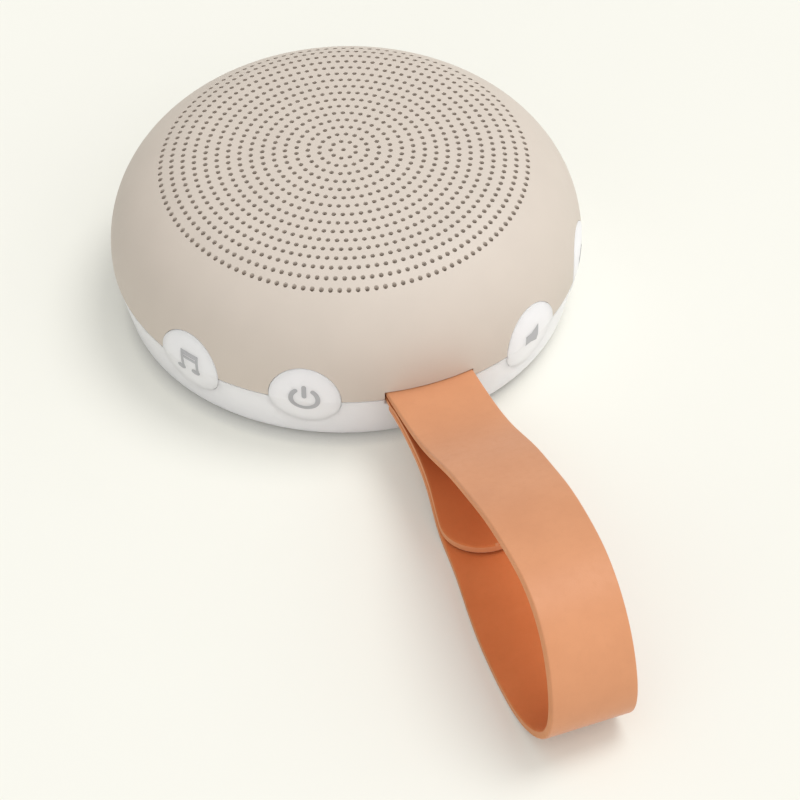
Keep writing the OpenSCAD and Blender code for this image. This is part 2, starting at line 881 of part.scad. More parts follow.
module voice_coil() {
  color([0.72, 0.45, 0.25]) union() {
    ring(coil_in_r, coil_out_r, coil_low, coil_top - coil_low);
    ring(coil_out_r - eps, winding_r, coil_low, winding_h);
  }
}

module speaker_cone() {
  r0 = coil_out_r + glue;
  rim = cone_r - cone_rim;
  color([0.13, 0.13, 0.14]) rotate_extrude($fn = fine) polygon([
    [r0, coil_top - cone_t], [rim, cone_top - cone_t], [cone_r, cone_top - cone_t], [cone_r, cone_top],
    [rim, cone_top], [r0, coil_top]
  ]);
}

module dust_cap() {
  slope = (cone_top - coil_top) / (cone_r - cone_rim - coil_out_r - glue);
  z0 = coil_top + (dust_cap_r - coil_out_r - glue) * slope + glue;
  rs = (pow(dust_cap_r, 2) + pow(dust_cap_h, 2)) / (2 * dust_cap_h);
  color([0.10, 0.10, 0.11]) rotate_extrude($fn = fine) intersection() {
    translate([0, z0]) square([dust_cap_r, dust_cap_h + cut]);
    translate([0, z0 + dust_cap_h - rs]) difference() {
      circle(r = rs, $fn = arc_fn);
      circle(r = rs - dust_cap_t, $fn = arc_fn);
    }
  }
}

module speaker_surround() {
  z0 = cone_top + glue;
  mid = (cone_r + cup_r) / 2;
  color([0.07, 0.07, 0.07]) rotate_extrude($fn = fine) union() {
    translate([cone_r - cone_rim, z0]) square([cone_rim + roll_t / 2, roll_t]);
    translate([cup_r - roll_t / 2, z0]) square([rim_r - cup_r + roll_t / 2, roll_t]);
    intersection() {
      translate([cone_r - roll_t, z0]) square([cup_r - cone_r + 2 * roll_t, 2 * roll_r]);
      translate([mid, z0]) difference() {
        circle(r = roll_r + roll_t / 2, $fn = 96);
        circle(r = roll_r - roll_t / 2, $fn = 96);
      }
    }
  }
}

module speaker_terminals() {
  color([0.55, 0.42, 0.25]) translate([tag_x - tag_t, -tag_w / 2, tag_z]) cube([tag_t, tag_w, tag_h]);
}

module speaker_screws() {
  color([0.30, 0.30, 0.32]) for (a = speaker_azs) rotate(a) translate([0, -speaker_screw_r, flange_top]) {
    difference() {
      cylinder(d = speaker_head_d, h = speaker_head_h, $fn = 32);
      translate([0, 0, speaker_head_h - speaker_socket_h]) cylinder(d = speaker_socket_d, h = cut, $fn = 6);
    }
    translate([0, 0, -speaker_screw_l])
      cylinder(d = speaker_screw_d, h = speaker_screw_l + eps, $fn = 24);
  }
}

// ---------------------------------------------------------------- strap

// The loop, from its end under the tail, along the table, round the front and back along the top
module strap() {
  loop = concat(run(lower_run), run(front_low), run(front_high), run(top_fall), run(top_run), [top_run[3]]);
  color([0.78, 0.47, 0.30]) union() {
    across(strap_w) band_along(loop, strap_t);
    intersection() {
      across(strap_w) intersection() {
        band_along(concat([tail_run[0] + tail_lead], run(tail_run), [tail_run[3]]), strap_t);
        translate([bend_y, 0]) square([body_d, body_d]);
      }
      translate([0, -tail_end_y + strap_w / 2, 0]) union() {
        cylinder(d = strap_w, h = strap_h, $fn = 96);
        translate([-strap_w / 2, 0, 0]) cube([strap_w, body_d, strap_h]);
      }
    }
  }
}

// The rest of the same strip of leather, folded round the pin inside the slot
module strap_fold() {
  out = bend_y - bend_gap;
  mid = pin_y + fold_straight;
  half = mid - pin_y;
  top = slot_z + wrap_r;
  low = slot_z - wrap_r;
  upper = run([[mid, top_line_z], [mid - half / 2, top_line_z], [pin_y + half / 2, top], [pin_y, top]], 6);
  lower = run([[pin_y, low], [pin_y + half / 2, low], [mid - half / 2, low_line_z], [mid, low_line_z]], 6);
  wrap = [for (a = [90 : 15 : 255]) [pin_y + wrap_r * cos(a), slot_z + wrap_r * sin(a)]];
  line = concat([[out, top_line_z]], upper, wrap, lower, [[mid, low_line_z], [out, low_line_z]]);
  color([0.78, 0.47, 0.30]) across(strap_w) band_along(line, strap_t);
}

module strap_pin() {
  color([0.75, 0.76, 0.78]) translate([-pin_l / 2, -pin_y, slot_z]) rotate([0, 90, 0])
    cylinder(d = pin_d, h = pin_l, $fn = 48);
}

top_shell();
acoustic_cloth();
base_shell();
foot_pad();
case_screws();
inner_frame();
frame_screws();
main_pcb();
pcb_chips();
pcb_capacitors();
power_inductor();
usb_c_connector();
usb_c_tongue();
battery_connector();
speaker_connector();
tact_switches();
power_switch_plunger();
sound_switch_plunger();
volume_down_switch_plunger();
volume_up_switch_plunger();
power_button();
sound_button();
volume_down_button();
volume_up_button();
battery();
battery_pad();
battery_leads();
speaker_leads();
charge_led();
charge_light_pipe();
speaker_gasket();
speaker_basket();
speaker_magnet();
speaker_yoke();
speaker_top_plate();
speaker_spider();
voice_coil();
speaker_cone();
dust_cap();
speaker_surround();
speaker_terminals();
speaker_screws();
strap();
strap_fold();
strap_pin();
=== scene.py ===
import math

import bpy
import numpy as np
from mathutils import Matrix, Vector
from mathutils.geometry import delaunay_2d_cdt


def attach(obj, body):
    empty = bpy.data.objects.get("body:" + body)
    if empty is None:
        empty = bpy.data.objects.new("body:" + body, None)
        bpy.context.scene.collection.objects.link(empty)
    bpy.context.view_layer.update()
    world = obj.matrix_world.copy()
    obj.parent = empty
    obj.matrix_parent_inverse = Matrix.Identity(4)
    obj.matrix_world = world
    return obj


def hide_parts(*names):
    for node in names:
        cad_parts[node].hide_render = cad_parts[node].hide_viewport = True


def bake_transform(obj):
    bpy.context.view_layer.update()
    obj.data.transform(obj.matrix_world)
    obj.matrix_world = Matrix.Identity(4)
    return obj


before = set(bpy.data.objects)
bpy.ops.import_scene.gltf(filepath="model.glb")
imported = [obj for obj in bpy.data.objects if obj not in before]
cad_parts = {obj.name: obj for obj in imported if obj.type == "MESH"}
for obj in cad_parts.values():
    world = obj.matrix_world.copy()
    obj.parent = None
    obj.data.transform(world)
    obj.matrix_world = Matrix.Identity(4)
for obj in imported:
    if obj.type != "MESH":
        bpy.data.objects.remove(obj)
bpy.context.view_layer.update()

MM = 0.001

# ---------------------------------------------------------------- sizes, in millimetres, as in part.scad
BODY_R = 50.0
BODY_H = 38.0
SEAM_H = 12.5
SEAM_GAP = 0.15
CROWN_R = 230.0
SHOULDER_R = 21.5
BAND_LOW_R = 47.0
BASE_Z = 0.4
WALL = 2.2
PITCH = 2.41
RINGS = 16
FIRST_RING = 0.124
HOLE_R = 0.475
CAP_R = 7.6
CAP_GAP = 0.06
CAP_PROUD = 0.1
CAP_RISE = 0.7
CAP_Z = SEAM_H + CAP_RISE
# Angle of each cap from the strap, seen from above
CAP_AZ = {"power": -30.3, "sound": -61.2, "volume_down": 30.3, "volume_up": 61.2}
STRAP_W = 19.0
STRAP_T = 1.5
# The strap's slot: its room beside the leather, its middle above the seam, and its room above the leather,
# which is less than in part.scad
SLOT_SIDE, SLOT_RISE, SLOT_ROOM = 0.2, 0.5, 0.15
SLOT_HALF = STRAP_W / 2 + SLOT_SIDE
SLOT_TOP = SEAM_H + SLOT_RISE + STRAP_T + SLOT_ROOM

# Worked out from them: the centres of the two curves of the dome, where they meet, the seam and the band
SHOULDER_X = BODY_R - SHOULDER_R
CROWN_Z = BODY_H - CROWN_R
SHOULDER_Z = CROWN_Z + math.sqrt((CROWN_R - SHOULDER_R) ** 2 - SHOULDER_X ** 2)
TANGENT_R = SHOULDER_X * CROWN_R / (CROWN_R - SHOULDER_R)
SEAM_R = SHOULDER_X + math.sqrt(SHOULDER_R ** 2 - (SEAM_H - SHOULDER_Z) ** 2)
BAND_A = math.atan((SEAM_R - BAND_LOW_R) / (SEAM_H - BASE_Z))


# ---------------------------------------------------------------- materials
def nodes_of(name):
    """A new material, its node tree and its main shader."""
    m = bpy.data.materials.new(name)
    m.use_nodes = True
    t = m.node_tree
    return m, t, t.nodes["Principled BSDF"]


def add(t, kind, **values):
    """A new node in the tree t. The values are its properties or its sockets' values."""
    n = t.nodes.new(kind)
    for k, v in values.items():
        if hasattr(n, k):
            setattr(n, k, v)
        else:
            n.inputs[k.replace("_", " ")].default_value = v
    return n


def noise(t, coord, size_mm, detail=3.0, rough=0.55):
    """Noise with features of about size_mm."""
    n = add(t, "ShaderNodeTexNoise")
    n.inputs["Scale"].default_value = 1.0 / (size_mm * MM)
    n.inputs["Detail"].default_value = detail
    n.inputs["Roughness"].default_value = rough
    t.links.new(coord, n.inputs["Vector"])
    return n.outputs["Fac"]


def remap(t, value, lo, hi, a=0.0, b=1.0):
    """The value, taken from lo to hi on to a to b and held within them."""
    n = add(t, "ShaderNodeMapRange")
    for key, v in (("From Min", lo), ("From Max", hi), ("To Min", a), ("To Max", b)):
        n.inputs[key].default_value = v
    t.links.new(value, n.inputs["Value"])
    return n.outputs["Result"]


def mixed(t, fac, a, b):
    """The colour a where fac is 0 and b where it is 1."""
    n = t.nodes.new("ShaderNodeMix")
    n.data_type = "RGBA"
    for socket, v in ((n.inputs[6], a), (n.inputs[7], b)):
        if isinstance(v, bpy.types.NodeSocket):
            t.links.new(v, socket)
        else:
            socket.default_value = (*v, 1)
    if isinstance(fac, bpy.types.NodeSocket):
        t.links.new(fac, n.inputs[0])
    else:
        n.inputs[0].default_value = fac
    return n.outputs[2]


# Size of a surface's slow changes of tone, how far its roughness goes either way, how deep light enters it
PATCH, ROUGH_SPREAD, GLOW_DEPTH = 9.0, 0.05, 4.0


def surface(name, rgb, rough=0.5, metal=0.0, grain=0.2, bump=0.25, depth=0.012, vary=0.04,
            ior=1.46, edge=0.0, coat=0.0, detail=3.0, clear=0.0, glow=0.0):
    """A moulded, drawn or painted surface: fine grain, slow variation of tone and gloss, soft edges.

    The sizes grain, depth and edge are in millimetres."""
    m, t, p = nodes_of(name)
    coord = add(t, "ShaderNodeTexCoord").outputs["Object"]
    slow = noise(t, coord, PATCH, 2.0)
    fine = noise(t, coord, grain, detail)
    dark = tuple(c * (1 - vary) for c in rgb)
    light = tuple(min(1.0, c * (1 + vary)) for c in rgb)
    colour = mixed(t, remap(t, slow, 0.3, 0.7), dark, light)
    t.links.new(colour, p.inputs["Base Color"])
    gloss = remap(t, noise(t, coord, PATCH / 4, 3.0), 0.3, 0.7, rough - ROUGH_SPREAD, rough + ROUGH_SPREAD)
    t.links.new(gloss, p.inputs["Roughness"])
    p.inputs["Metallic"].default_value = metal
    p.inputs["IOR"].default_value = ior
    if coat:
        p.inputs["Coat Weight"].default_value = coat
    if glow:
        p.inputs["Subsurface Weight"].default_value = glow
        p.inputs["Subsurface Radius"].default_value = (1, 1, 1)
        p.inputs["Subsurface Scale"].default_value = GLOW_DEPTH * MM
    if clear:
        p.inputs["Transmission Weight"].default_value = clear
    b = add(t, "ShaderNodeBump")
    b.inputs["Strength"].default_value = bump
    b.inputs["Distance"].default_value = depth * MM
    t.links.new(fine, b.inputs["Height"])
    if edge:
        r = add(t, "ShaderNodeBevel")
        r.samples = 4
        r.inputs["Radius"].default_value = edge * MM
        t.links.new(r.outputs["Normal"], b.inputs["Normal"])
    t.links.new(b.outputs["Normal"], p.inputs["Normal"])
    return m


# Painted shade on the inside of the strap where it turns in at the mouth: darkest this far from the tail's
# end, within NEAR of it, and faded out by FAR
MOUTH_SHADE_AT, MOUTH_SHADE_NEAR, MOUTH_SHADE_FAR = 46.0, 12.0, 44.0
# Sizes of the leather's pores, spots, clouds of tone and hairs, and the depths of its creases and hairs
PORE, SPOT, CLOUD, HAIR, CREASE_DEPTH, HAIR_DEPTH = 0.12, 1.6, 14.0, 0.35, 0.03, 0.08
# Scale of the wave texture that has one band for each metre, and the depth of the cloth's threads
ONE_BAND, THREAD_DEPTH = 0.314, 0.05


def leather(name, rgb, dark, rough=0.5, grain=0.55, bump=0.35, fibre=0.0, sheen=0.0, mouth_shade=None):
    """Leather laid out along the strip; the last argument is the colour of the painted shade where it turns
    in at the mouth.
    """
    m, t, p = nodes_of(name)
    coord = add(t, "ShaderNodeTexCoord").outputs["UV"]
    cells = add(t, "ShaderNodeTexVoronoi")
    cells.feature = "DISTANCE_TO_EDGE"
    cells.inputs["Scale"].default_value = 1.0 / (grain * MM)
    cells.inputs["Randomness"].default_value = 1.0
    t.links.new(coord, cells.inputs["Vector"])
    creases = remap(t, cells.outputs["Distance"], 0.0, 0.22)
    fine = noise(t, coord, PORE, 4.0)
    slow = noise(t, coord, CLOUD, 3.0)
    mid = noise(t, coord, SPOT, 5.0, 0.65)
    tone = mixed(t, remap(t, slow, 0.3, 0.72), dark, rgb)
    spots = tuple(c * 0.86 for c in rgb)
    tone = mixed(t, remap(t, mid, 0.34, 0.5, 0.2, 0.0), tone, spots)
    # Painted shade: the colour darkens towards the mouth, where little light reaches the inside of the loop
    if mouth_shade:
        parts = add(t, "ShaderNodeSeparateXYZ")
        t.links.new(coord, parts.inputs["Vector"])
        back = add(t, "ShaderNodeMath", operation="SUBTRACT")
        t.links.new(parts.outputs["Y"], back.inputs[0])
        back.inputs[1].default_value = MOUTH_SHADE_AT * MM
        off = add(t, "ShaderNodeMath", operation="ABSOLUTE")
        t.links.new(back.outputs[0], off.inputs[0])
        tone = mixed(t, remap(t, off.outputs[0], MOUTH_SHADE_NEAR * MM, MOUTH_SHADE_FAR * MM), mouth_shade, tone)
    t.links.new(tone, p.inputs["Base Color"])
    t.links.new(remap(t, mid, 0.3, 0.7, rough + 0.07, rough - 0.06), p.inputs["Roughness"])
    p.inputs["IOR"].default_value = 1.4
    p.inputs["Specular IOR Level"].default_value = 0.4
    if sheen:
        p.inputs["Sheen Weight"].default_value = sheen
    height = add(t, "ShaderNodeMath", operation="MULTIPLY_ADD")
    t.links.new(creases, height.inputs[0])
    height.inputs[1].default_value = 0.55
    t.links.new(fine, height.inputs[2])
    b = add(t, "ShaderNodeBump")
    b.inputs["Strength"].default_value = bump
    b.inputs["Distance"].default_value = CREASE_DEPTH * MM
    t.links.new(height.outputs[0], b.inputs["Height"])
    if fibre:
        stretch = add(t, "ShaderNodeMapping")
        stretch.inputs["Scale"].default_value = (1, 0.2, 1)
        t.links.new(coord, stretch.inputs["Vector"])
        hair = noise(t, stretch.outputs["Vector"], HAIR, 5.0, 0.7)
        b2 = add(t, "ShaderNodeBump")
        b2.inputs["Strength"].default_value = fibre
        b2.inputs["Distance"].default_value = HAIR_DEPTH * MM
        t.links.new(hair, b2.inputs["Height"])
        t.links.new(b.outputs["Normal"], b2.inputs["Normal"])
        t.links.new(b2.outputs["Normal"], p.inputs["Normal"])
    else:
        t.links.new(b.outputs["Normal"], p.inputs["Normal"])
    return m


def weave(name, rgb, pitch=0.35):
    """Woven cloth: two crossed waves, pitch millimetres apart."""
    m, t, p = nodes_of(name)
    coord = add(t, "ShaderNodeTexCoord").outputs["Object"]
    waves = []
    for axis in ("X", "Y"):
        w = add(t, "ShaderNodeTexWave")
        w.bands_direction = axis
        w.inputs["Scale"].default_value = ONE_BAND / (pitch * MM)
        w.inputs["Distortion"].default_value = 0.4
        t.links.new(coord, w.inputs["Vector"])
        waves.append(w.outputs["Fac"])
    top = add(t, "ShaderNodeMath", operation="MAXIMUM")
    t.links.new(waves[0], top.inputs[0])
    t.links.new(waves[1], top.inputs[1])
    colour = mixed(t, top.outputs[0], tuple(c * 0.45 for c in rgb), rgb)
    t.links.new(colour, p.inputs["Base Color"])
    p.inputs["Roughness"].default_value = 0.9
    b = add(t, "ShaderNodeBump")
    b.inputs["Strength"].default_value = 0.5
    b.inputs["Distance"].default_value = THREAD_DEPTH * MM
    t.links.new(top.outputs[0], b.inputs["Height"])
    t.links.new(b.outputs["Normal"], p.inputs["Normal"])
    return m


BEIGE = (0.605, 0.533, 0.465)
mat_beige = surface("beige_plastic", BEIGE, rough=0.52, grain=0.16, bump=0.18, vary=0.015)
mat_white = surface("white_plastic", (0.89, 0.885, 0.91), rough=0.42, bump=0.1, vary=0.012, edge=0.06,
                    glow=0.6)
mat_key = surface("white_key", (0.88, 0.875, 0.895), rough=0.4, bump=0.1, vary=0.012, edge=0.06, glow=0.6)
mat_ink = surface("grey_ink", (0.44, 0.44, 0.46), grain=0.1, bump=0.2, vary=0.05)
mat_leather = leather("tan_leather", (0.65, 0.288, 0.138), (0.60, 0.258, 0.120), rough=0.42, sheen=0.22)
# Inside of the loop, with painted shade where it turns in at the mouth
mat_flesh = leather("leather_inside", (0.70, 0.218, 0.070), (0.65, 0.19, 0.057), rough=0.75, bump=0.25,
                    fibre=0.35, mouth_shade=(0.35, 0.070, 0.013))
mat_edge = leather("leather_edge", (0.74, 0.335, 0.16), (0.68, 0.29, 0.13), rough=0.65, grain=0.25, bump=0.2)
mat_cloth = weave("acoustic_cloth_weave", (0.30, 0.24, 0.19))
mat_rubber = surface("foot_rubber_grey", (0.08, 0.08, 0.082), rough=0.8, grain=0.3, bump=0.4, depth=0.03,
                     edge=0.2)
mat_black_rubber = surface("black_rubber", (0.02, 0.02, 0.02), rough=0.6, grain=0.2, bump=0.3)
mat_foam = surface("grey_foam", (0.07, 0.07, 0.075), rough=0.95, grain=0.35, bump=0.9, depth=0.1, detail=6.0)
mat_steel = surface("zinc_steel", (0.62, 0.63, 0.64), rough=0.32, metal=1.0, grain=0.4, bump=0.12, vary=0.06)
mat_dark_steel = surface("black_steel", (0.08, 0.08, 0.085), rough=0.4, metal=0.9, grain=0.3, bump=0.15)
mat_frame = surface("frame_plastic_black", (0.035, 0.035, 0.038), rough=0.55, grain=0.25, bump=0.3, edge=0.15)
mat_chip = surface("chip_epoxy", (0.03, 0.03, 0.032), rough=0.45, grain=0.12, bump=0.3, edge=0.08)
mat_can = surface("drawn_aluminium", (0.75, 0.76, 0.78), rough=0.28, metal=1.0, grain=0.5, bump=0.1,
                  edge=0.15)
mat_ferrite = surface("ferrite_grey", (0.06, 0.06, 0.063), rough=0.6, grain=0.3, bump=0.5, depth=0.03,
                      edge=0.25)
mat_nylon = surface("nylon_cream", (0.72, 0.68, 0.56), bump=0.15, edge=0.1)
mat_red = surface("red_wire", (0.42, 0.02, 0.015), rough=0.35, grain=0.4, bump=0.1)
mat_black = surface("black_wire", (0.02, 0.02, 0.022), rough=0.35, grain=0.4, bump=0.1)
mat_lamp = surface("lamp_epoxy", (0.85, 0.85, 0.78), rough=0.2, grain=0.5, bump=0.05, coat=0.5)
mat_pipe = surface("light_pipe_clear", (0.92, 0.95, 1.0), rough=0.12, grain=0.6, bump=0.04, ior=1.49,
                   clear=0.8)
mat_foil = surface("battery_foil", (0.70, 0.71, 0.73), rough=0.35, metal=1.0, grain=1.6, bump=0.35,
                   depth=0.05, vary=0.05)
mat_basket = surface("basket_paint", (0.12, 0.125, 0.13), rough=0.4, metal=0.3, grain=0.3, bump=0.2,
                     edge=0.15)
mat_plate = surface("plated_iron", (0.55, 0.56, 0.58), rough=0.35, metal=1.0, grain=0.4, bump=0.15, edge=0.2)
mat_spider = weave("spider_cloth_weave", (0.55, 0.37, 0.14), pitch=0.5)
mat_coil = surface("enamelled_copper", (0.60, 0.25, 0.11), rough=0.3, metal=1.0, grain=0.15, bump=0.5)
mat_cone = surface("paper_pulp", (0.022, 0.022, 0.024), rough=0.85, grain=0.5, bump=0.8, depth=0.06,
                   detail=6.0)
mat_board = surface("phenolic_board", (0.28, 0.17, 0.08), grain=0.3, bump=0.2, edge=0.08)

# Circuit board: solder mask with tracks showing through as a slow cell pattern
mat_pcb, tree, bsdf = nodes_of("solder_mask")
where = add(tree, "ShaderNodeTexCoord").outputs["Object"]
tracks = add(tree, "ShaderNodeTexVoronoi")
tracks.distance = "MANHATTAN"
tracks.feature = "DISTANCE_TO_EDGE"
tracks.inputs["Scale"].default_value = 1 / (3.5 * MM)
tree.links.new(where, tracks.inputs["Vector"])
lines = remap(tree, tracks.outputs["Distance"], 0.05, 0.09)
tree.links.new(mixed(tree, lines, (0.05, 0.22, 0.10), (0.012, 0.10, 0.045)), bsdf.inputs["Base Color"])
bsdf.inputs["Roughness"].default_value = 0.3
raised = add(tree, "ShaderNodeBump")
raised.inputs["Strength"].default_value = 0.3
raised.inputs["Distance"].default_value = 0.03 * MM
tree.links.new(lines, raised.inputs["Height"])
tree.links.new(raised.outputs["Normal"], bsdf.inputs["Normal"])

LOOKS = {
    "acoustic_cloth": mat_cloth, "base_shell": mat_white, "foot_pad": mat_rubber, "case_screws": mat_steel,
    "inner_frame": mat_frame, "frame_screws": mat_steel, "main_pcb": mat_pcb, "pcb_chips": mat_chip,
    "pcb_capacitors": mat_can, "power_inductor": mat_ferrite, "usb_c_connector": mat_steel,
    "usb_c_tongue": mat_chip, "battery_connector": mat_nylon, "speaker_connector": mat_nylon,
    "tact_switches": mat_chip, "power_switch_plunger": mat_nylon, "sound_switch_plunger": mat_nylon,
    "volume_down_switch_plunger": mat_nylon, "volume_up_switch_plunger": mat_nylon, "power_button": mat_key,
    "sound_button": mat_key, "volume_down_button": mat_key, "volume_up_button": mat_key, "battery": mat_foil,
    "battery_pad": mat_foam, "battery_leads": mat_red, "speaker_leads": mat_black, "charge_led": mat_lamp,
    "charge_light_pipe": mat_pipe, "speaker_gasket": mat_foam, "speaker_basket": mat_basket,
    "speaker_magnet": mat_ferrite, "speaker_yoke": mat_plate, "speaker_top_plate": mat_plate,
    "speaker_spider": mat_spider, "voice_coil": mat_coil, "speaker_cone": mat_cone, "dust_cap": mat_cone,
    "speaker_surround": mat_black_rubber, "speaker_terminals": mat_board, "speaker_screws": mat_dark_steel,
    "strap_pin": mat_steel,
}
for node, m in LOOKS.items():
    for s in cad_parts[node].material_slots:
        s.material = m


# ---------------------------------------------------------------- outline of the body
def dome_r(z, off=0.0):
    """Radius of the dome's shoulder at height z, set in by off."""
    return SHOULDER_X + math.sqrt(max((SHOULDER_R - off) ** 2 - (z - SHOULDER_Z) ** 2, 0))


def band_r(z, off=0.0):
    """Radius of the white band at height z, set in by off."""
    return BAND_LOW_R + (z - BASE_Z) * math.tan(BAND_A) - off / math.cos(BAND_A)


def side_r(z, off=0.0):
    """Radius of the body's side at height z, above or below the seam."""
    return dome_r(z, off) if z >= SEAM_H else band_r(z, off)


def dome_z(r, off=0.0):
    """Height of the dome at radius r, set in by off."""
    turn = SHOULDER_X * (CROWN_R - off) / (CROWN_R - SHOULDER_R)
    if r <= turn:
        return CROWN_Z + math.sqrt((CROWN_R - off) ** 2 - r * r)
    return SHOULDER_Z + math.sqrt((SHOULDER_R - off) ** 2 - (r - SHOULDER_X) ** 2)


def dome_normal(r, z):
    """Outward normal of the dome as (radial, up)."""
    a, b = (r, z - CROWN_Z) if r <= TANGENT_R else (r - SHOULDER_X, z - SHOULDER_Z)
    n = math.hypot(a, b)
    return a / n, b / n


def placed(name, data):
    """A new object of this mesh, lamp or camera, in the scene."""
    o = bpy.data.objects.new(name, data)
    bpy.context.scene.collection.objects.link(o)
    return o


class Skin:
    """Collects points with their own normals, and faces, and makes one mesh of them."""

    def __init__(self):
        self.points, self.normals, self.faces, self.slots, self.uv = [], [], [], [], []

    def point(self, p, n, uv=None):
        """Takes a point in millimetres with its normal and says its number."""
        self.points.append(tuple(c * MM for c in p))
        self.normals.append(tuple(n))
        self.uv.append(uv)
        return len(self.points) - 1

    def face(self, f, slot=0):
        self.faces.append(tuple(f))
        self.slots.append(slot)

    def strip(self, a, b, closed=True, slot=0):
        """Faces between two rows of points of the same length."""
        n = len(a)
        for i in range(n if closed else n - 1):
            j = (i + 1) % n
            self.face((a[i], a[j], b[j], b[i]), slot)

    def mesh(self, name, materials):
        """An object of all that was collected, with every face turned to the side of its normals."""
        at, out = np.array(self.points), np.array(self.normals)
        for i, f in enumerate(self.faces):
            other = at[f[-1]] - at[f[1]] if len(f) > 3 else at[f[2]] - at[f[1]]
            if np.cross(at[f[2]] - at[f[0]], other) @ out[list(f)].sum(0) < 0:
                self.faces[i] = f[::-1]
        m = bpy.data.meshes.new(name)
        m.from_pydata(self.points, [], self.faces)
        for x in materials:
            m.materials.append(x)
        m.polygons.foreach_set("material_index", self.slots)
        m.polygons.foreach_set("use_smooth", [True] * len(self.faces))
        if self.uv and self.uv[0] is not None:
            layer = m.uv_layers.new(name="along")
            at = np.array(self.uv, float)[[v for f in self.faces for v in f]] * MM
            layer.data.foreach_set("uv", at.ravel())
        m.normals_split_custom_set_from_vertices(self.normals)
        return placed(name, m)


def triangles(points, loops, inner, keep):
    """Triangles between flat points, along closed loops of them and through the inner points.

    keep says of a triangle's middle and corners whether it stays."""
    verts = [Vector((float(x), float(y))) for x, y in [*points, *inner]]
    edges = [(ring[i], ring[(i + 1) % len(ring)]) for ring in loops for i in range(len(ring))]
    out = delaunay_2d_cdt(verts, edges, [], 0, 1e-7)
    flat, back = out[0], [o[0] if o else -1 for o in out[3]]
    result = []
    for f in out[2]:
        c = sum((flat[v] for v in f), Vector((0, 0))) / 3
        ids = [back[v] for v in f]
        if min(ids) >= 0 and keep(c.x, c.y, ids):
            result.append(ids)
    return result


# ---------------------------------------------------------------- top shell with all of its holes
def circle(n):
    """Cosine and sine of n angles round a circle."""
    return [(math.cos(2 * math.pi * i / n), math.sin(2 * math.pi * i / n)) for i in range(n)]


def hole_centres():
    """The centre hole, then ring after ring with 8 more holes each."""
    yield 0.0, 0.0
    for k in range(1, RINGS + 1):
        n = 8 * k + 1
        r = PITCH * (k * (RINGS - FIRST_RING) / RINGS + FIRST_RING)
        for i in range(n):
            a = 2 * math.pi * i / n
            yield r * math.cos(a), r * math.sin(a)


# Corners of a hole, its rounded rim, the radius where the drilled crown ends, and the corners there
HOLE_N = 16
RIM = 0.07
CROWN_EDGE = 39.6
AROUND = 360
TINY = 1e-9


def crown(skin):
    """The drilled crown: outer sheet, rounded hole rims, hole walls and inner sheet."""
    ring = circle(HOLE_N)
    outer_xy, inner_xy, loops, rows = [], [], [], []
    for cx, cy in hole_centres():
        start = len(outer_xy)
        top, lip, low = [], [], []
        for c, s in ring:
            x, y = cx + (HOLE_R + RIM) * c, cy + (HOLE_R + RIM) * s
            r = math.hypot(x, y)
            nr, nz = dome_normal(r, dome_z(r))
            k = 1 / max(r, TINY)
            outer_xy.append((x, y))
            top.append(skin.point((x, y, dome_z(r)), (nr * x * k, nr * y * k, nz)))
            x, y = cx + HOLE_R * c, cy + HOLE_R * s
            r = math.hypot(x, y)
            lip.append(skin.point((x, y, dome_z(r) - RIM), (-c, -s, 0)))
            low.append(skin.point((x, y, dome_z(r, WALL)), (-c, -s, 0)))
            inner_xy.append((x, y))
        loops.append(list(range(start, start + HOLE_N)))
        rows.append((top, lip, low))
    for top, lip, low in rows:
        skin.strip(top, lip)
        skin.strip(lip, low)
    edge = [(CROWN_EDGE * s, -CROWN_EDGE * c) for c, s in circle(AROUND)]
    n0 = len(outer_xy)
    loops.append(list(range(n0, n0 + AROUND)))

    def keep(x, y, ids):
        """Leaves out the insides of the holes."""
        if max(ids) >= n0:
            return True
        return len({i // HOLE_N for i in ids}) > 1

    faces = triangles(outer_xy + edge, loops, [], keep)
    for off, xy, sign in ((0.0, outer_xy, 1), (WALL, inner_xy, -1)):
        ids = []
        for x, y in xy + edge:
            r = math.hypot(x, y)
            z = dome_z(r, off)
            nr, nz = dome_normal(r, dome_z(r))
            k = 1 / max(r, TINY)
            ids.append(skin.point((x, y, z), (sign * nr * x * k, sign * nr * y * k, sign * nz)))
        for f in faces:
            g = [ids[i] for i in f]
            skin.face(g if sign > 0 else g[::-1])


# Points along the seam's stretches between openings, along a window, up and across the slot, and up the side
SPANS = (110, 12, 10, 10, 12, 110)
WINDOW_N = 48
SLOT_UP = 5
SLOT_ACROSS = 20
SIDE_ROWS = 24
# How far the side's inner points keep off its openings, a window's radius, the rounding and the lower edge
CLEARANCE = 0.3
CAP_HOLE = CAP_R + CAP_GAP
RIM_SIDE = 0.08
LOW = SEAM_H + SEAM_GAP


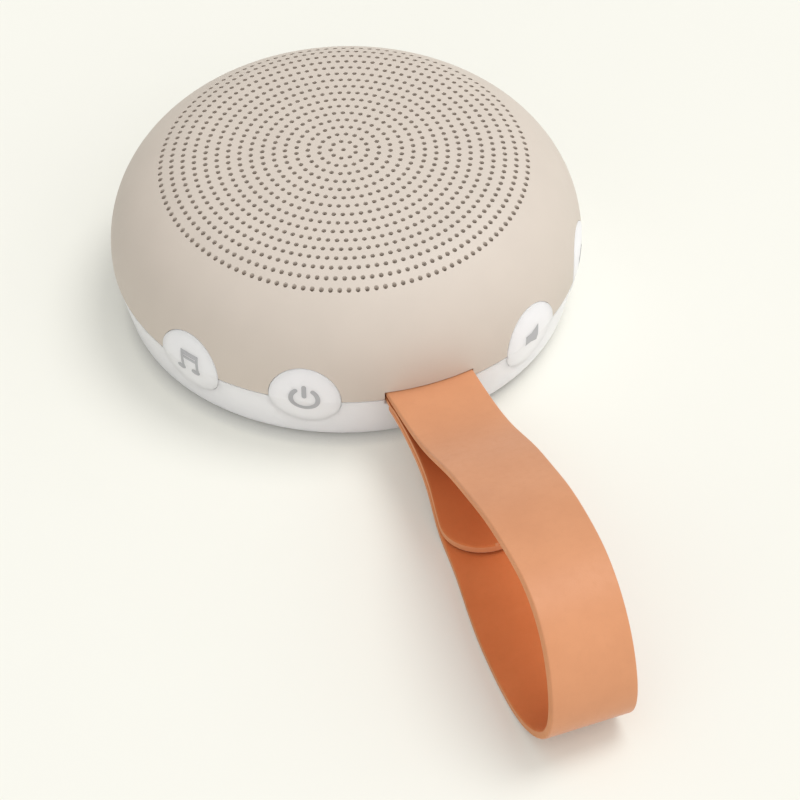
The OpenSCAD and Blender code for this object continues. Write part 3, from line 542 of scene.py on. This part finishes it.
def side_outline(grow, off):
    """Lower edge of the side as (point, normal): the seam, the windows and the slot, grown and set in."""
    rho, low, half, top = CAP_HOLE + grow, LOW + grow, SLOT_HALF + grow, SLOT_TOP + grow
    parts = []
    for az in sorted(CAP_AZ.values()):
        a = math.radians(az)
        n, u = (math.sin(a), -math.cos(a)), (math.cos(a), math.sin(a))
        s0 = math.asin((low - CAP_Z) / rho)
        part = []
        for i in range(WINDOW_N + 1):
            phi = math.pi - s0 - (math.pi - 2 * s0) * i / WINDOW_N
            du, z = rho * math.cos(phi), CAP_Z + rho * math.sin(phi)
            w = math.sqrt(dome_r(z, off) ** 2 - du * du)
            c, s = -math.cos(phi), -math.sin(phi)
            part.append(((n[0] * w + u[0] * du, n[1] * w + u[1] * du, z), (u[0] * c, u[1] * c, s)))
        parts.append(part)

    def at_x(x, z, normal):
        """The front of the dome at x and z."""
        r = dome_r(z, off)
        return (x, -math.sqrt(r * r - x * x), z), normal

    slot = [at_x(-half, low + (top - low) * i / SLOT_UP, (1, 0, 0)) for i in range(SLOT_UP)]
    slot += [at_x(-half + 2 * half * i / SLOT_ACROSS, top, (0, 0, -1)) for i in range(SLOT_ACROSS + 1)]
    slot += [at_x(half, top - (top - low) * i / SLOT_UP, (-1, 0, 0)) for i in range(1, SLOT_UP + 1)]
    parts.insert(2, slot)
    rows, turn = [], -math.pi
    for part, count in zip(parts + [None], SPANS):
        end = math.pi if part is None else math.atan2(part[0][0][0], -part[0][0][1])
        for i in range(1 if rows else 0, count + (1 if part is None else 0)):
            t = turn + (end - turn) * i / count
            r = dome_r(low, off)
            rows.append(((r * math.sin(t), -r * math.cos(t), low), (0, 0, -1)))
        if part is not None:
            rows += part
            turn = math.atan2(part[-1][0][0], -part[-1][0][1])
    return rows


def side(skin):
    """The shoulder below the crown, outside and inside, with the edge of its seam, windows and slot."""
    lines = []
    for grow, off, sign in ((RIM_SIDE, 0.0, 1), (0.0, WALL, -1)):
        low = side_outline(grow, off)
        reach = SHOULDER_R - off
        top_phi = math.acos((CROWN_EDGE - SHOULDER_X) / reach)
        low_phi = math.asin((LOW + grow - SHOULDER_Z) / reach)

        def flat(p):
            """A point of the side rolled out: along the body and up its curve."""
            return math.atan2(p[0], -p[1]) * BODY_R, math.asin((p[2] - SHOULDER_Z) / reach) * SHOULDER_R

        xy = [flat(p) for p, n in low]
        xy[0], xy[-1] = (-math.pi * BODY_R, low_phi * SHOULDER_R), (math.pi * BODY_R, low_phi * SHOULDER_R)
        right = [(math.pi * BODY_R, (low_phi + (top_phi - low_phi) * i / SIDE_ROWS) * SHOULDER_R)
                 for i in range(1, SIDE_ROWS)]
        head = [(math.pi * BODY_R * (1 - 2 * i / AROUND), top_phi * SHOULDER_R) for i in range(AROUND + 1)]
        left = [(-x, y) for x, y in right[::-1]]
        outline = xy + right + head + left

        def clear(x, y, margin):
            """Whether a place is above the seam and outside the windows and the slot."""
            theta, phi = x / BODY_R, y / SHOULDER_R
            r, z = SHOULDER_X + reach * math.cos(phi), SHOULDER_Z + reach * math.sin(phi)
            if z < LOW + grow + margin:
                return False
            for az in CAP_AZ.values():
                t = theta - math.radians(az)
                if math.cos(t) > 0 and math.hypot(r * math.sin(t), z - CAP_Z) < CAP_HOLE + grow + margin:
                    return False
            return not (math.cos(theta) > 0 and abs(r * math.sin(theta)) < SLOT_HALF + grow + margin
                        and z < SLOT_TOP + grow + margin)

        across = [math.pi * BODY_R * (2 * i / AROUND - 1) for i in range(1, AROUND)]
        upward = [(low_phi + (top_phi - low_phi) * j / SIDE_ROWS) * SHOULDER_R for j in range(1, SIDE_ROWS)]
        inner = [(x, y) for x in across for y in upward if clear(x, y, CLEARANCE)]
        faces = triangles(outline, [list(range(len(outline)))], inner, lambda x, y, ids: clear(x, y, 0.0))
        ids = []
        for x, y in outline + inner:
            theta, phi = x / BODY_R, y / SHOULDER_R
            c, s = math.cos(phi), math.sin(phi)
            r, z = SHOULDER_X + reach * c, SHOULDER_Z + reach * s
            st, ct = math.sin(theta), -math.cos(theta)
            ids.append(skin.point((r * st, r * ct, z), (sign * c * st, sign * c * ct, sign * s)))
        for f in faces:
            g = [ids[i] for i in f]
            skin.face(g if sign > 0 else g[::-1])
        lines.append(ids[:len(low)])
    rim = [skin.point(p, n) for p, n in side_outline(0.0, RIM_SIDE)]
    wall = [skin.point(p, n) for p, n in side_outline(0.0, WALL)]
    skin.strip(rim, lines[0], closed=False)
    skin.strip(wall, rim, closed=False)


# The posts: their places, radii, and the heights of their top, their foot and the bottom of their hole
POST_AZ, POST_AT = (46, 134, 226, 314), 42.0
POST_R, POST_HOLE_R = 2.8, 1.05
POST_TOP, POST_FOOT, POST_HOLE_TOP = 26.0, 13.5, 21.0
POST_N = 32


def posts(skin):
    """Four posts under the shoulder that take the case screws."""
    for a in POST_AZ:
        ox, oy = POST_AT * math.sin(math.radians(a)), -POST_AT * math.cos(math.radians(a))
        rows = []
        for r, z, sign in ((POST_R, POST_TOP, 1), (POST_R, POST_FOOT, 1),
                           (POST_HOLE_R, POST_FOOT, -1), (POST_HOLE_R, POST_HOLE_TOP, -1)):
            rows.append([skin.point((ox + r * c, oy + r * s, z), (sign * c, sign * s, 0))
                         for c, s in circle(POST_N)])
        skin.strip(rows[1], rows[0])
        skin.strip(rows[2], rows[1])
        skin.strip(rows[3], rows[2])


skin = Skin()
crown(skin)
side(skin)
posts(skin)
shell = skin.mesh("top_shell_drilled", [mat_beige])
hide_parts("top_shell")
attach(shell, "housing")


# ---------------------------------------------------------------- symbols on the four keys
# Size of the step that gives a cap's slope, a symbol's finest edge and grid, and how it lies on the cap
SLOPE_STEP = 0.05
INK_EDGE, INK_GRID, INK_CLEAR, GRID_N = 0.3, 0.4, 0.15, 14
INK_UP, INK_DOWN = 0.03, -0.05


def on_cap(az, x, y, lift=0.0):
    """Point of a cap's face at x to the right and y up from its middle, and its normal."""
    a = math.radians(az)
    n, u = (math.sin(a), -math.cos(a)), (math.cos(a), math.sin(a))
    z = CAP_Z + y

    def reach(x, z):
        """How far the face is from the axis, along the cap's own direction."""
        r = side_r(z, -CAP_PROUD - lift)
        return math.sqrt(r * r - x * x)

    w = reach(x, z)
    e = SLOPE_STEP
    dx, dz = (reach(x + e, z) - reach(x - e, z)) / (2 * e), (reach(x, z + e) - reach(x, z - e)) / (2 * e)
    k = 1 / math.sqrt(1 + dx * dx + dz * dz)
    nx, nn, nz = -dx * k, k, -dz * k
    return ((n[0] * w + u[0] * x, n[1] * w + u[1] * x, z),
            (n[0] * nn + u[0] * nx, n[1] * nn + u[1] * nx, nz))


def symbol(key, outlines):
    """Printed symbol: flat outlines cut into small pieces and laid on the cap's face."""
    skin = Skin()
    az = CAP_AZ[key]
    for loops in outlines:
        pts, rings = [], []
        for loop in loops:
            n0 = len(pts)
            for i, a in enumerate(loop):
                b = loop[(i + 1) % len(loop)]
                n = max(1, int(math.dist(a, b) / INK_EDGE))
                pts += [(a[0] + (b[0] - a[0]) * j / n, a[1] + (b[1] - a[1]) * j / n) for j in range(n)]
            rings.append(list(range(n0, len(pts))))

        def inside(x, y, ids=None):
            """Whether a point is in the outline. The loops inside of others are holes."""
            hit = False
            for ring in rings:
                for i in range(len(ring)):
                    (x0, y0), (x1, y1) = pts[ring[i]], pts[ring[(i + 1) % len(ring)]]
                    if (y0 > y) != (y1 > y) and x < (x1 - x0) * (y - y0) / (y1 - y0) + x0:
                        hit = not hit
            return hit

        steps = [i * INK_GRID for i in range(-GRID_N, GRID_N + 1)]
        grid = [(x, y) for x in steps for y in steps
                if inside(x, y) and min(math.dist((x, y), p) for p in pts) > INK_CLEAR]
        faces = triangles(pts, rings, grid, inside)
        front = [skin.point(*on_cap(az, x, y, INK_UP)) for x, y in pts + grid]
        back = [skin.point(on_cap(az, x, y, INK_DOWN)[0], on_cap(az, x, y)[1]) for x, y in pts]
        for f in faces:
            skin.face([front[i] for i in f])
        for ring in rings:
            skin.strip([back[i] for i in ring], [front[i] for i in ring])
    o = skin.mesh(key + "_symbol", [mat_ink])
    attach(o, key + "_key")


def arc(r, a, b, n, middle):
    """Points of an arc from a to b degrees."""
    turns = [math.radians(a + (b - a) * i / n) for i in range(n + 1)]
    return [(middle[0] + r * math.cos(t), middle[1] + r * math.sin(t)) for t in turns]


def bent(r, w, a, b, middle=(0, 0)):
    """An arc stroke, w wide, with round ends."""
    first, last = arc(r, a, b, 1, middle)
    return (arc(r + w / 2, a, b, 40, middle) + arc(w / 2, b, b + 180, 10, last)[1:-1]
            + arc(r - w / 2, b, a, 40, middle) + arc(w / 2, a + 180, a + 360, 10, first)[1:-1])


def bar(x, y0, y1, w):
    """An upright stroke with round ends."""
    return arc(w / 2, 0, 180, 12, (x, y1 - w / 2)) + arc(w / 2, 180, 360, 12, (x, y0 + w / 2))


def horn(x, wide=1.0):
    """A loudspeaker seen from the side."""
    back, neck, mouth, low, high = x - 2.1, x - 0.7, x + 1.1, 1.25, 2.4
    return [(u * wide, v) for u, v in
            ((back, -low), (neck, -low), (mouth, -high), (mouth, high), (neck, low), (back, low))]


def note_head(x, y):
    """A tilted oval."""
    return [(x + 1.15 * c - 0.12 * s, y + 0.82 * s + 0.3 * c) for c, s in circle(32)]


STEMS_AND_BEAM = [(-1.95, -2.4), (-1.95, 3.1), (2.75, 3.1), (2.75, -2.0), (2.05, -2.0), (2.05, 0.95),
                  (-1.25, 0.95), (-1.25, -2.4)]
BETWEEN_BEAMS = [(-1.25, 2.0), (2.05, 2.0), (2.05, 1.65), (-1.25, 1.65)]

symbol("power", [[bent(2.85, 1.0, 130, 410)], [bar(0, 0.3, 3.7, 1.0)]])
symbol("sound", [[STEMS_AND_BEAM, BETWEEN_BEAMS], [note_head(-2.35, -2.4)], [note_head(1.65, -2.0)]])
symbol("volume_down", [[horn(0.4, wide=1.25)]])
symbol("volume_up", [[horn(0.1)], [bent(2.4, 0.6, -40, 40, (0.2, 0))]])


# ---------------------------------------------------------------- strap: one strip of leather from end to end
# Heights of the two layers in the slot, and the pin that they are folded round
TOP_Z, LOW_Z = 13.78, 12.22
PIN_Y, PIN_Z, WRAP_R = 43.2, 13.0, 2.1
# The upper layer comes in at MOUTH_Y, the lower one goes out at LOW_OUT_Y, and inside of STRAIGHT_Y they bend
MOUTH_Y, LOW_OUT_Y, STRAIGHT_Y, BEND_Y = 48.8, 51.4, 47.2, 45.2
SLOT_LEAN = 0.15
LOOP_N, MOUTH_N, BEND_N, WRAP_STEP, LOW_N = 400, 4, 8, 10, 12
# The tail lies TAIL_OVER thicknesses above the strand below it, from TAIL_START to its end at TAIL_Y. Beyond
# TAIL_FREE it rises, by TAIL_LIFT thicknesses at its end. TAIL_LOW tells the lower strand from the upper one
TAIL_START, TAIL_FREE, TAIL_Y = 52.6, 68.0, 88.6
TAIL_OVER, TAIL_LIFT, TAIL_LOW = 1.01, 0.4, 11.0
# The leather's rounded edge, and its extra thickness from THIN_Y to FULL_Y and beyond
EDGE_R = 0.42
EXTRA, THIN_Y, FULL_Y = 0.45, 54.0, 66.0


def body_extra(d):
    """The leather is thinned where it turns into the slot and thicker, towards its inside, further out."""
    return EXTRA * np.clip((d - THIN_Y) / (FULL_Y - THIN_Y), 0, 1)


def bez(p, n):
    """The first n of the n + 1 points of a Bezier curve."""
    return [tuple((1 - t) ** 3 * a + 3 * t * (1 - t) ** 2 * b + 3 * t * t * (1 - t) * c + t ** 3 * d
                  for a, b, c, d in zip(*p)) for t in (i / n for i in range(n))]


# Middle line of the loop from under the tail to the mouth: distance from the axis, height, lean to the right,
# and how far the width turns to the back and upwards
LOOP = (
    (49.80, 10.70, 0.28, 0.0, 0.0), (52.40, 10.66, 0.40, 0.0, 0.0), (61.50, 8.71, 0.90, 0.0, 0.0),
    (69.40, 5.16, 1.02, -0.009, 0.0), (77.49, 1.60, 0.20, -0.019, 0.0), (87.55, 0.76, -0.62, -0.026, 0.0),
    (97.17, 0.75, -1.83, -0.031, 0.0), (106.16, 0.75, -2.98, -0.029, 0.0), (115.22, 0.75, -3.66, -0.019, 0.0),
    (124.99, 0.80, -3.91, 0.002, 0.0), (134.46, 2.10, -3.57, 0.033, -0.030),
    (141.90, 8.20, -2.76, 0.081, -0.075),
    (140.41, 18.23, -1.83, 0.130, -0.118), (133.06, 26.43, -0.93, 0.170, -0.142),
    (122.87, 30.25, -0.30, 0.165, -0.122), (112.12, 30.25, 0.0, 0.126, -0.080),
    (101.62, 28.60, 0.21, 0.084, -0.050), (92.57, 25.90, 0.34, 0.048, -0.031),
    (83.77, 22.80, 0.54, 0.024, -0.017), (75.76, 19.20, 0.70, 0.008, -0.010),
    (67.47, 15.80, 0.75, 0.0, -0.005), (57.70, 13.85, 0.60, 0.0, 0.0), (48.97, 13.78, 0.15, 0.0, 0.0))


def smooth(rows, n):
    """Natural cubic curve through rows, as n points."""
    q = np.array(rows, float)
    t = np.concatenate([[0], np.cumsum(np.linalg.norm(np.diff(q[:, :2], axis=0), axis=1))])
    h = np.diff(t)
    m = np.zeros((len(q), len(q)))
    k = np.zeros_like(q)
    m[0, 0] = m[-1, -1] = 1
    for i in range(1, len(q) - 1):
        m[i, i - 1:i + 2] = h[i - 1], 2 * (h[i - 1] + h[i]), h[i]
        k[i] = 6 * ((q[i + 1] - q[i]) / h[i] - (q[i] - q[i - 1]) / h[i - 1])
    c = np.linalg.solve(m, k)
    out = []
    for x in np.linspace(0, t[-1], n):
        i = min(int(np.searchsorted(t, x, side="right")) - 1, len(h) - 1)
        a, b = t[i + 1] - x, x - t[i]
        out.append((c[i] * a ** 3 + c[i + 1] * b ** 3) / (6 * h[i]) + (q[i] / h[i] - c[i] * h[i] / 6) * a
                   + (q[i + 1] / h[i] - c[i + 1] * h[i] / 6) * b)
    return out


def plain(points):
    """The middle line in the slot, through points of (distance from the axis, height)."""
    return [np.array((d, z, SLOT_LEAN, 0.0, 0.0)) for d, z in points]


loop = smooth(LOOP, LOOP_N)
mouth = plain([(d, TOP_Z) for d in np.linspace(MOUTH_Y, STRAIGHT_Y, MOUTH_N + 1)[1:-1]])
crest, sole = PIN_Z + WRAP_R, PIN_Z - WRAP_R
fold = bez(((STRAIGHT_Y, TOP_Z), (BEND_Y, TOP_Z), (BEND_Y, crest), (PIN_Y, crest)), BEND_N)
fold += [(PIN_Y + WRAP_R * math.cos(math.radians(a)), PIN_Z + WRAP_R * math.sin(math.radians(a)))
         for a in range(90, 270, WRAP_STEP)]
fold += bez(((PIN_Y, sole), (BEND_Y, sole), (BEND_Y, LOW_Z), (STRAIGHT_Y, LOW_Z)), BEND_N)
fold = plain(fold + [(d, LOW_Z) for d in np.linspace(STRAIGHT_Y, LOW_OUT_Y, LOW_N + 1)])
tail = []
for p, q in zip(loop, loop[1:]):
    along = (q - p)[:2] / np.linalg.norm((q - p)[:2])
    risen = TAIL_LIFT * max(0, (p[0] - TAIL_FREE) / (TAIL_Y - TAIL_FREE)) ** 2
    lift = STRAP_T * (TAIL_OVER + risen) + body_extra(p[0])
    over = p + np.array((-along[1] * lift, along[0] * lift, 0, 0, 0))
    if TAIL_START < over[0] < TAIL_Y and p[1] < TAIL_LOW:
        tail.append(over)

# Slots of the strip's mesh: the smooth outside, the rough inside and the cut edge
OUTSIDE, INSIDE, EDGE = 0, 1, 2
# Points of the section round one corner and along a face. A corner counts as face where its normal is steeper
# than FACE_TILT
CORNER_N, FACE_N, FACE_TILT = 5, 11, 0.35
# Along the strip, points of its line closer than MERGE become one, samples of it are LINE_STEP apart, and the
# sections are MESH_STEP apart up to END_GAP before the round end, which takes END_N over END_TURN degrees
MERGE, LINE_STEP, MESH_STEP, END_GAP = 0.05, 0.3, 0.6, 0.2
END_TURN, END_N = 88, 24


def section(half, thick):
    """Cross-section of the strip as (across, through, normal across, normal through, face)."""
    r = EDGE_R
    out = []
    for x, y, a0 in ((half - r, thick / 2 - r, 90), (half - r, r - thick / 2, 0),
                     (r - half, r - thick / 2, -90), (r - half, thick / 2 - r, 180)):
        for i in range(CORNER_N):
            a = math.radians(a0 - 90 * i / (CORNER_N - 1))
            c, t = math.cos(a), math.sin(a)
            kind = OUTSIDE if t > FACE_TILT else INSIDE if t < -FACE_TILT else EDGE
            out.append((x + r * c, y + r * t, c, t, kind))
        if a0 in (90, -90):
            continue
        sign, kind = (1, OUTSIDE) if a0 == 180 else (-1, INSIDE)
        out += [(-sign * (half - r) * (1 - 2 * i / (FACE_N + 1)), sign * thick / 2, 0, sign, kind)
                for i in range(1, FACE_N + 1)]
    return out


def strip_mesh(name, line):
    """Sweeps the section along a line of (distance from the axis, height, lean, turn back, turn up)."""
    pts = [line[0]]
    for p in line[1:]:
        if math.dist(p[:2], pts[-1][:2]) > MERGE:
            pts.append(p)
    run = np.concatenate([[0], np.cumsum([math.dist(a[:2], b[:2]) for a, b in zip(pts, pts[1:])])])
    total, half = run[-1], STRAP_W / 2
    sample = np.linspace(0, total, int(total / LINE_STEP))
    d, z, x, wy, wz = (np.interp(sample, run, [p[i] for p in pts]) for i in range(5))
    middle = np.stack([x, -d, z], -1)
    ahead = np.gradient(middle, axis=0)
    ahead /= np.linalg.norm(ahead, axis=1)[:, None]
    width = np.stack([np.ones_like(wy), wy, wz], -1)
    width /= np.linalg.norm(width, axis=1)[:, None]
    out = np.cross(width, ahead)
    out /= np.linalg.norm(out, axis=1)[:, None]

    def at(rows, s):
        """What rows, one for each sample, say at the length s."""
        return np.array([np.interp(s, sample, rows[:, i]) for i in range(3)])

    base, flat = total - half, half - EDGE_R
    stations = [(s, 0.0) for s in np.arange(0, base - END_GAP, MESH_STEP)]
    stations += [(base, math.radians(a)) for a in np.linspace(0, END_TURN, END_N)]
    outline = section(half, STRAP_T)
    skin = Skin()
    rows = []
    for start, turn in stations:
        row = []
        for u, v, nu, nv, kind in outline:
            s = start + max(abs(u), flat) * math.sin(turn)
            m, w, f, o = at(middle, s), at(width, s), at(ahead, s), at(out, s)
            if v < 0:
                v *= 1 + 2 * body_extra(-m[1]) / STRAP_T
            u *= math.cos(turn)
            n = w * nu * math.cos(turn) + f * abs(nu) * math.sin(turn) + o * nv
            uv = u + (v if kind == EDGE else 0), total - s
            row.append(skin.point(m + w * u + o * v, n / np.linalg.norm(n), uv))
        rows.append(row)
    kinds = [q[4] for q in outline]
    for a, b in zip(rows, rows[1:]):
        for i in range(len(kinds)):
            j = (i + 1) % len(kinds)
            skin.face((a[i], a[j], b[j], b[i]), kinds[i] if kinds[i] == kinds[j] else EDGE)
    skin.face(rows[0][::-1], EDGE)
    # The rounded end is closed between the last row's two sides
    side_n = 2 * CORNER_N
    right, left = rows[-1][:side_n], rows[-1][-side_n - FACE_N:-FACE_N][::-1]
    skin.strip(right, left, closed=False, slot=EDGE)
    return skin.mesh(name, [mat_leather, mat_flesh, mat_edge])


strap = strip_mesh("strap_leather", loop + mouth + fold + tail)
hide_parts("strap", "strap_fold")
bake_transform(strap)


# ---------------------------------------------------------------- the loudspeaker's rings that flex
# The surround's foot, the radius at its crest, its roll's radius and thickness, and its two lips
ROLL_Z, ROLL_MID, ROLL_R, ROLL_T = 29.624, 20.6, 2.0, 0.4
LIP_IN, LIP_OUT = 17.4, 23.4
# Its halves stop HALF_GAP short of the crest's middle. Edges over SHARP degrees stay sharp
HALF_GAP, SHARP = 0.01, 40
AROUND_ROLL, ROLL_N = 128, 14


def roll_half(name, side):
    """Half of the surround, from lip to crest: side is -1 for the half on the cone, 1 for the outer one."""
    def quarter(r, a, b):
        """A quarter of the roll's round section, from a to b degrees."""
        turns = [math.radians(t) for t in np.linspace(a, b, ROLL_N)]
        return [(ROLL_MID + side * max(r * math.cos(t), HALF_GAP), ROLL_Z + r * math.sin(t)) for t in turns]

    lip = LIP_IN if side < 0 else LIP_OUT
    outer, inner = ROLL_R + ROLL_T / 2, ROLL_R - ROLL_T / 2
    start = math.degrees(math.asin(ROLL_T / outer))
    line = [(lip, ROLL_Z + ROLL_T), *quarter(outer, start, 90), *quarter(inner, 90, 0), (lip, ROLL_Z)]
    area = sum(a[0] * b[1] - b[0] * a[1] for a, b in zip(line, line[1:] + line[:1]))
    points, faces = [], []
    for c, s in circle(AROUND_ROLL):
        points += [(r * c * MM, r * s * MM, z * MM) for r, z in line]
    n = len(line)
    for i in range(AROUND_ROLL):
        a, b = i * n, (i + 1) % AROUND_ROLL * n
        for j in range(n):
            k = (j + 1) % n
            face = (a + j, a + k, b + k, b + j)
            faces.append(face[::-1] if area > 0 else face)
    m = bpy.data.meshes.new(name)
    m.from_pydata(points, [], faces)
    m.materials.append(mat_black_rubber)
    m.polygons.foreach_set("use_smooth", [True] * len(faces))
    m.set_sharp_from_angle(angle=math.radians(SHARP))
    o = placed(name, m)
    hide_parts("speaker_surround")
    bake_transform(o)


roll_half("surround_on_cone", -1)
roll_half("surround_on_basket", 1)
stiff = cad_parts["speaker_spider"]
spider = placed("spider_flexing", stiff.data.copy())
spider.matrix_world = stiff.matrix_world
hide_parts("speaker_spider")
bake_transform(spider)


# ---------------------------------------------------------------- table, light, camera
# The table's paper as light, its own two tones, and its tone where the body shuts the light out
PAPER = (0.956, 0.948, 0.871)
TONE_A, TONE_B, SHADED = (0.826, 0.819, 0.753), (0.834, 0.827, 0.761), (0.50, 0.50, 0.485)
# The shade along the body's foot: how far the table looks for a body, and which way. Of what it looks at,
# FOOT_SHUT or less is open in full shade, and FOOT_OPEN or more where there is none. The shade fades out from
# BODY_EDGE to PAST_BODY from the axis, because the strap has none
FOOT_REACH, OPEN_SIDE = 5, (0.55, 0.70, 0.45)
FOOT_SHUT, FOOT_OPEN = 0.3, 0.62
BODY_EDGE, PAST_BODY = 54, 62
# The share of light that comes out of the paper, the table's size in metres, and how far it is under the foot
THROUGH, TABLE_SIZE, TABLE_DROP = 0.16, 6.0, 0.04
# The room's light from its sides, what is added overhead and in front, and the least from anywhere
SKY, SKY_UP, SKY_FRONT, SKY_LEAST = 0.56, 0.42, 0.54, 0.05
FRONT_AZ = math.radians(16)


def looked_at(t):
    """1 for the rays that show a surface or the world to the camera, straight, mirrored or through glass."""
    path = add(t, "ShaderNodeLightPath")
    seen = path.outputs["Is Camera Ray"]
    for kind in ("Is Glossy Ray", "Is Transmission Ray"):
        either = add(t, "ShaderNodeMath", operation="MAXIMUM")
        t.links.new(seen, either.inputs[0])
        t.links.new(path.outputs[kind], either.inputs[1])
        seen = either.outputs[0]
    return seen


mat_floor, tree, bsdf = nodes_of("table_top")
where = add(tree, "ShaderNodeTexCoord").outputs["Object"]
# The table looks up to the right and the back, so the body is in its way along the body's front and left
foot = add(tree, "ShaderNodeAmbientOcclusion", samples=8)
foot.inputs["Distance"].default_value = FOOT_REACH * MM
open_side = add(tree, "ShaderNodeCombineXYZ")
for axis, part in zip("XYZ", OPEN_SIDE):
    open_side.inputs[axis].default_value = part
tree.links.new(open_side.outputs[0], foot.inputs["Normal"])
from_axis = add(tree, "ShaderNodeVectorMath", operation="LENGTH")
tree.links.new(where, from_axis.inputs[0])
lit = add(tree, "ShaderNodeMath", operation="MAXIMUM")
tree.links.new(remap(tree, foot.outputs["AO"], FOOT_SHUT, FOOT_OPEN), lit.inputs[0])
tree.links.new(remap(tree, from_axis.outputs["Value"], BODY_EDGE * MM, PAST_BODY * MM), lit.inputs[1])
tone = mixed(tree, remap(tree, noise(tree, where, 60.0, 3.0), 0.3, 0.7), TONE_A, TONE_B)
tree.links.new(mixed(tree, lit.outputs[0], SHADED, tone), bsdf.inputs["Base Color"])
bsdf.inputs["Roughness"].default_value = 0.9
bsdf.inputs["Specular IOR Level"].default_value = 0.1
# The paper is lit through a little, which only what looks at it sees: its shadows come out soft and pale
through = add(tree, "ShaderNodeEmission")
through.inputs["Color"].default_value = (*PAPER, 1)
share = add(tree, "ShaderNodeMath", operation="MULTIPLY")
tree.links.new(looked_at(tree), share.inputs[0])
share.inputs[1].default_value = THROUGH
blend = add(tree, "ShaderNodeMixShader")
tree.links.new(share.outputs[0], blend.inputs[0])
tree.links.new(bsdf.outputs[0], blend.inputs[1])
tree.links.new(through.outputs[0], blend.inputs[2])
tree.links.new(blend.outputs[0], tree.nodes["Material Output"].inputs["Surface"])
bpy.ops.mesh.primitive_plane_add(size=TABLE_SIZE, location=(0, 0, -TABLE_DROP * MM))
floor = bpy.context.object
floor.name = "table_top"
floor.data.materials.append(mat_floor)

world = bpy.data.worlds.new("soft_studio")
bpy.context.scene.world = world
world.use_nodes = True
room = world.node_tree
sky = room.nodes["Background"]
sky.inputs["Color"].default_value = (1.0, 1.0, 1.0, 1)
# The light is strongest from overhead and from the front
toward = add(room, "ShaderNodeTexCoord")
facing = add(room, "ShaderNodeVectorMath", operation="DOT_PRODUCT")
facing.inputs[1].default_value = (SKY_FRONT * math.sin(FRONT_AZ), -SKY_FRONT * math.cos(FRONT_AZ), SKY_UP)
level = add(room, "ShaderNodeMath", operation="ADD")
level.inputs[1].default_value = SKY
least = add(room, "ShaderNodeMath", operation="MAXIMUM")
least.inputs[1].default_value = SKY_LEAST
room.links.new(toward.outputs["Generated"], facing.inputs[0])
room.links.new(facing.outputs["Value"], level.inputs[0])
room.links.new(level.outputs[0], least.inputs[0])
room.links.new(least.outputs[0], sky.inputs["Strength"])
# What looks at the room sees the same pale paper all round
paper = add(room, "ShaderNodeBackground")
paper.inputs["Color"].default_value = (*PAPER, 1)
paper.inputs["Strength"].default_value = 1.0
shown = add(room, "ShaderNodeMixShader")
room.links.new(looked_at(room), shown.inputs[0])
room.links.new(sky.outputs[0], shown.inputs[1])
room.links.new(paper.outputs[0], shown.inputs[2])
room.links.new(shown.outputs[0], room.nodes["World Output"].inputs["Surface"])


def sun(name, az, el, strength, angle):
    """A sun that stands az degrees from the front to the right and el degrees up."""
    lamp = bpy.data.lights.new(name, "SUN")
    lamp.energy = strength
    lamp.angle = math.radians(angle)
    o = placed(name, lamp)
    a, e = math.radians(az), math.radians(el)
    d = Vector((math.sin(a) * math.cos(e), -math.cos(a) * math.cos(e), math.sin(e)))
    o.rotation_euler = d.to_track_quat("Z", "Y").to_euler()


sun("window_right", az=104, el=64, strength=1.12, angle=30)

# Camera: found from the body's outline, the three symbols and the strap's edges. It stands BACK metres before
# the axis and HIGH metres up, looks YAW to the right, DIP down and ROLL askew, and turns about the axis
BACK, HIGH, LENS = 0.7131, 0.6539, 202.5
YAW, DIP, ROLL, TURN = 0.01494, 0.76834, -0.02267, math.radians(-19.1)
forward = Vector((math.sin(YAW) * math.cos(DIP), math.cos(YAW) * math.cos(DIP), -math.sin(DIP)))
side_way = Vector((math.cos(YAW), -math.sin(YAW), 0))
up = side_way.cross(forward)
right = side_way * math.cos(ROLL) + up * math.sin(ROLL)
up = up * math.cos(ROLL) - side_way * math.sin(ROLL)
about_z = Matrix.Rotation(TURN, 3, "Z")
place = about_z @ Vector((0, -BACK, HIGH))
axes = Matrix([about_z @ right, about_z @ up, about_z @ -forward]).transposed()
lens = bpy.data.cameras.new("camera")
lens.lens = LENS
lens.sensor_width = 36
lens.clip_start = 0.05
lens.clip_end = 20
camera = placed("camera", lens)
camera.matrix_world = Matrix.Translation(place) @ axes.to_4x4()
bpy.context.scene.camera = camera
bpy.context.scene.view_settings.view_transform = "Standard"
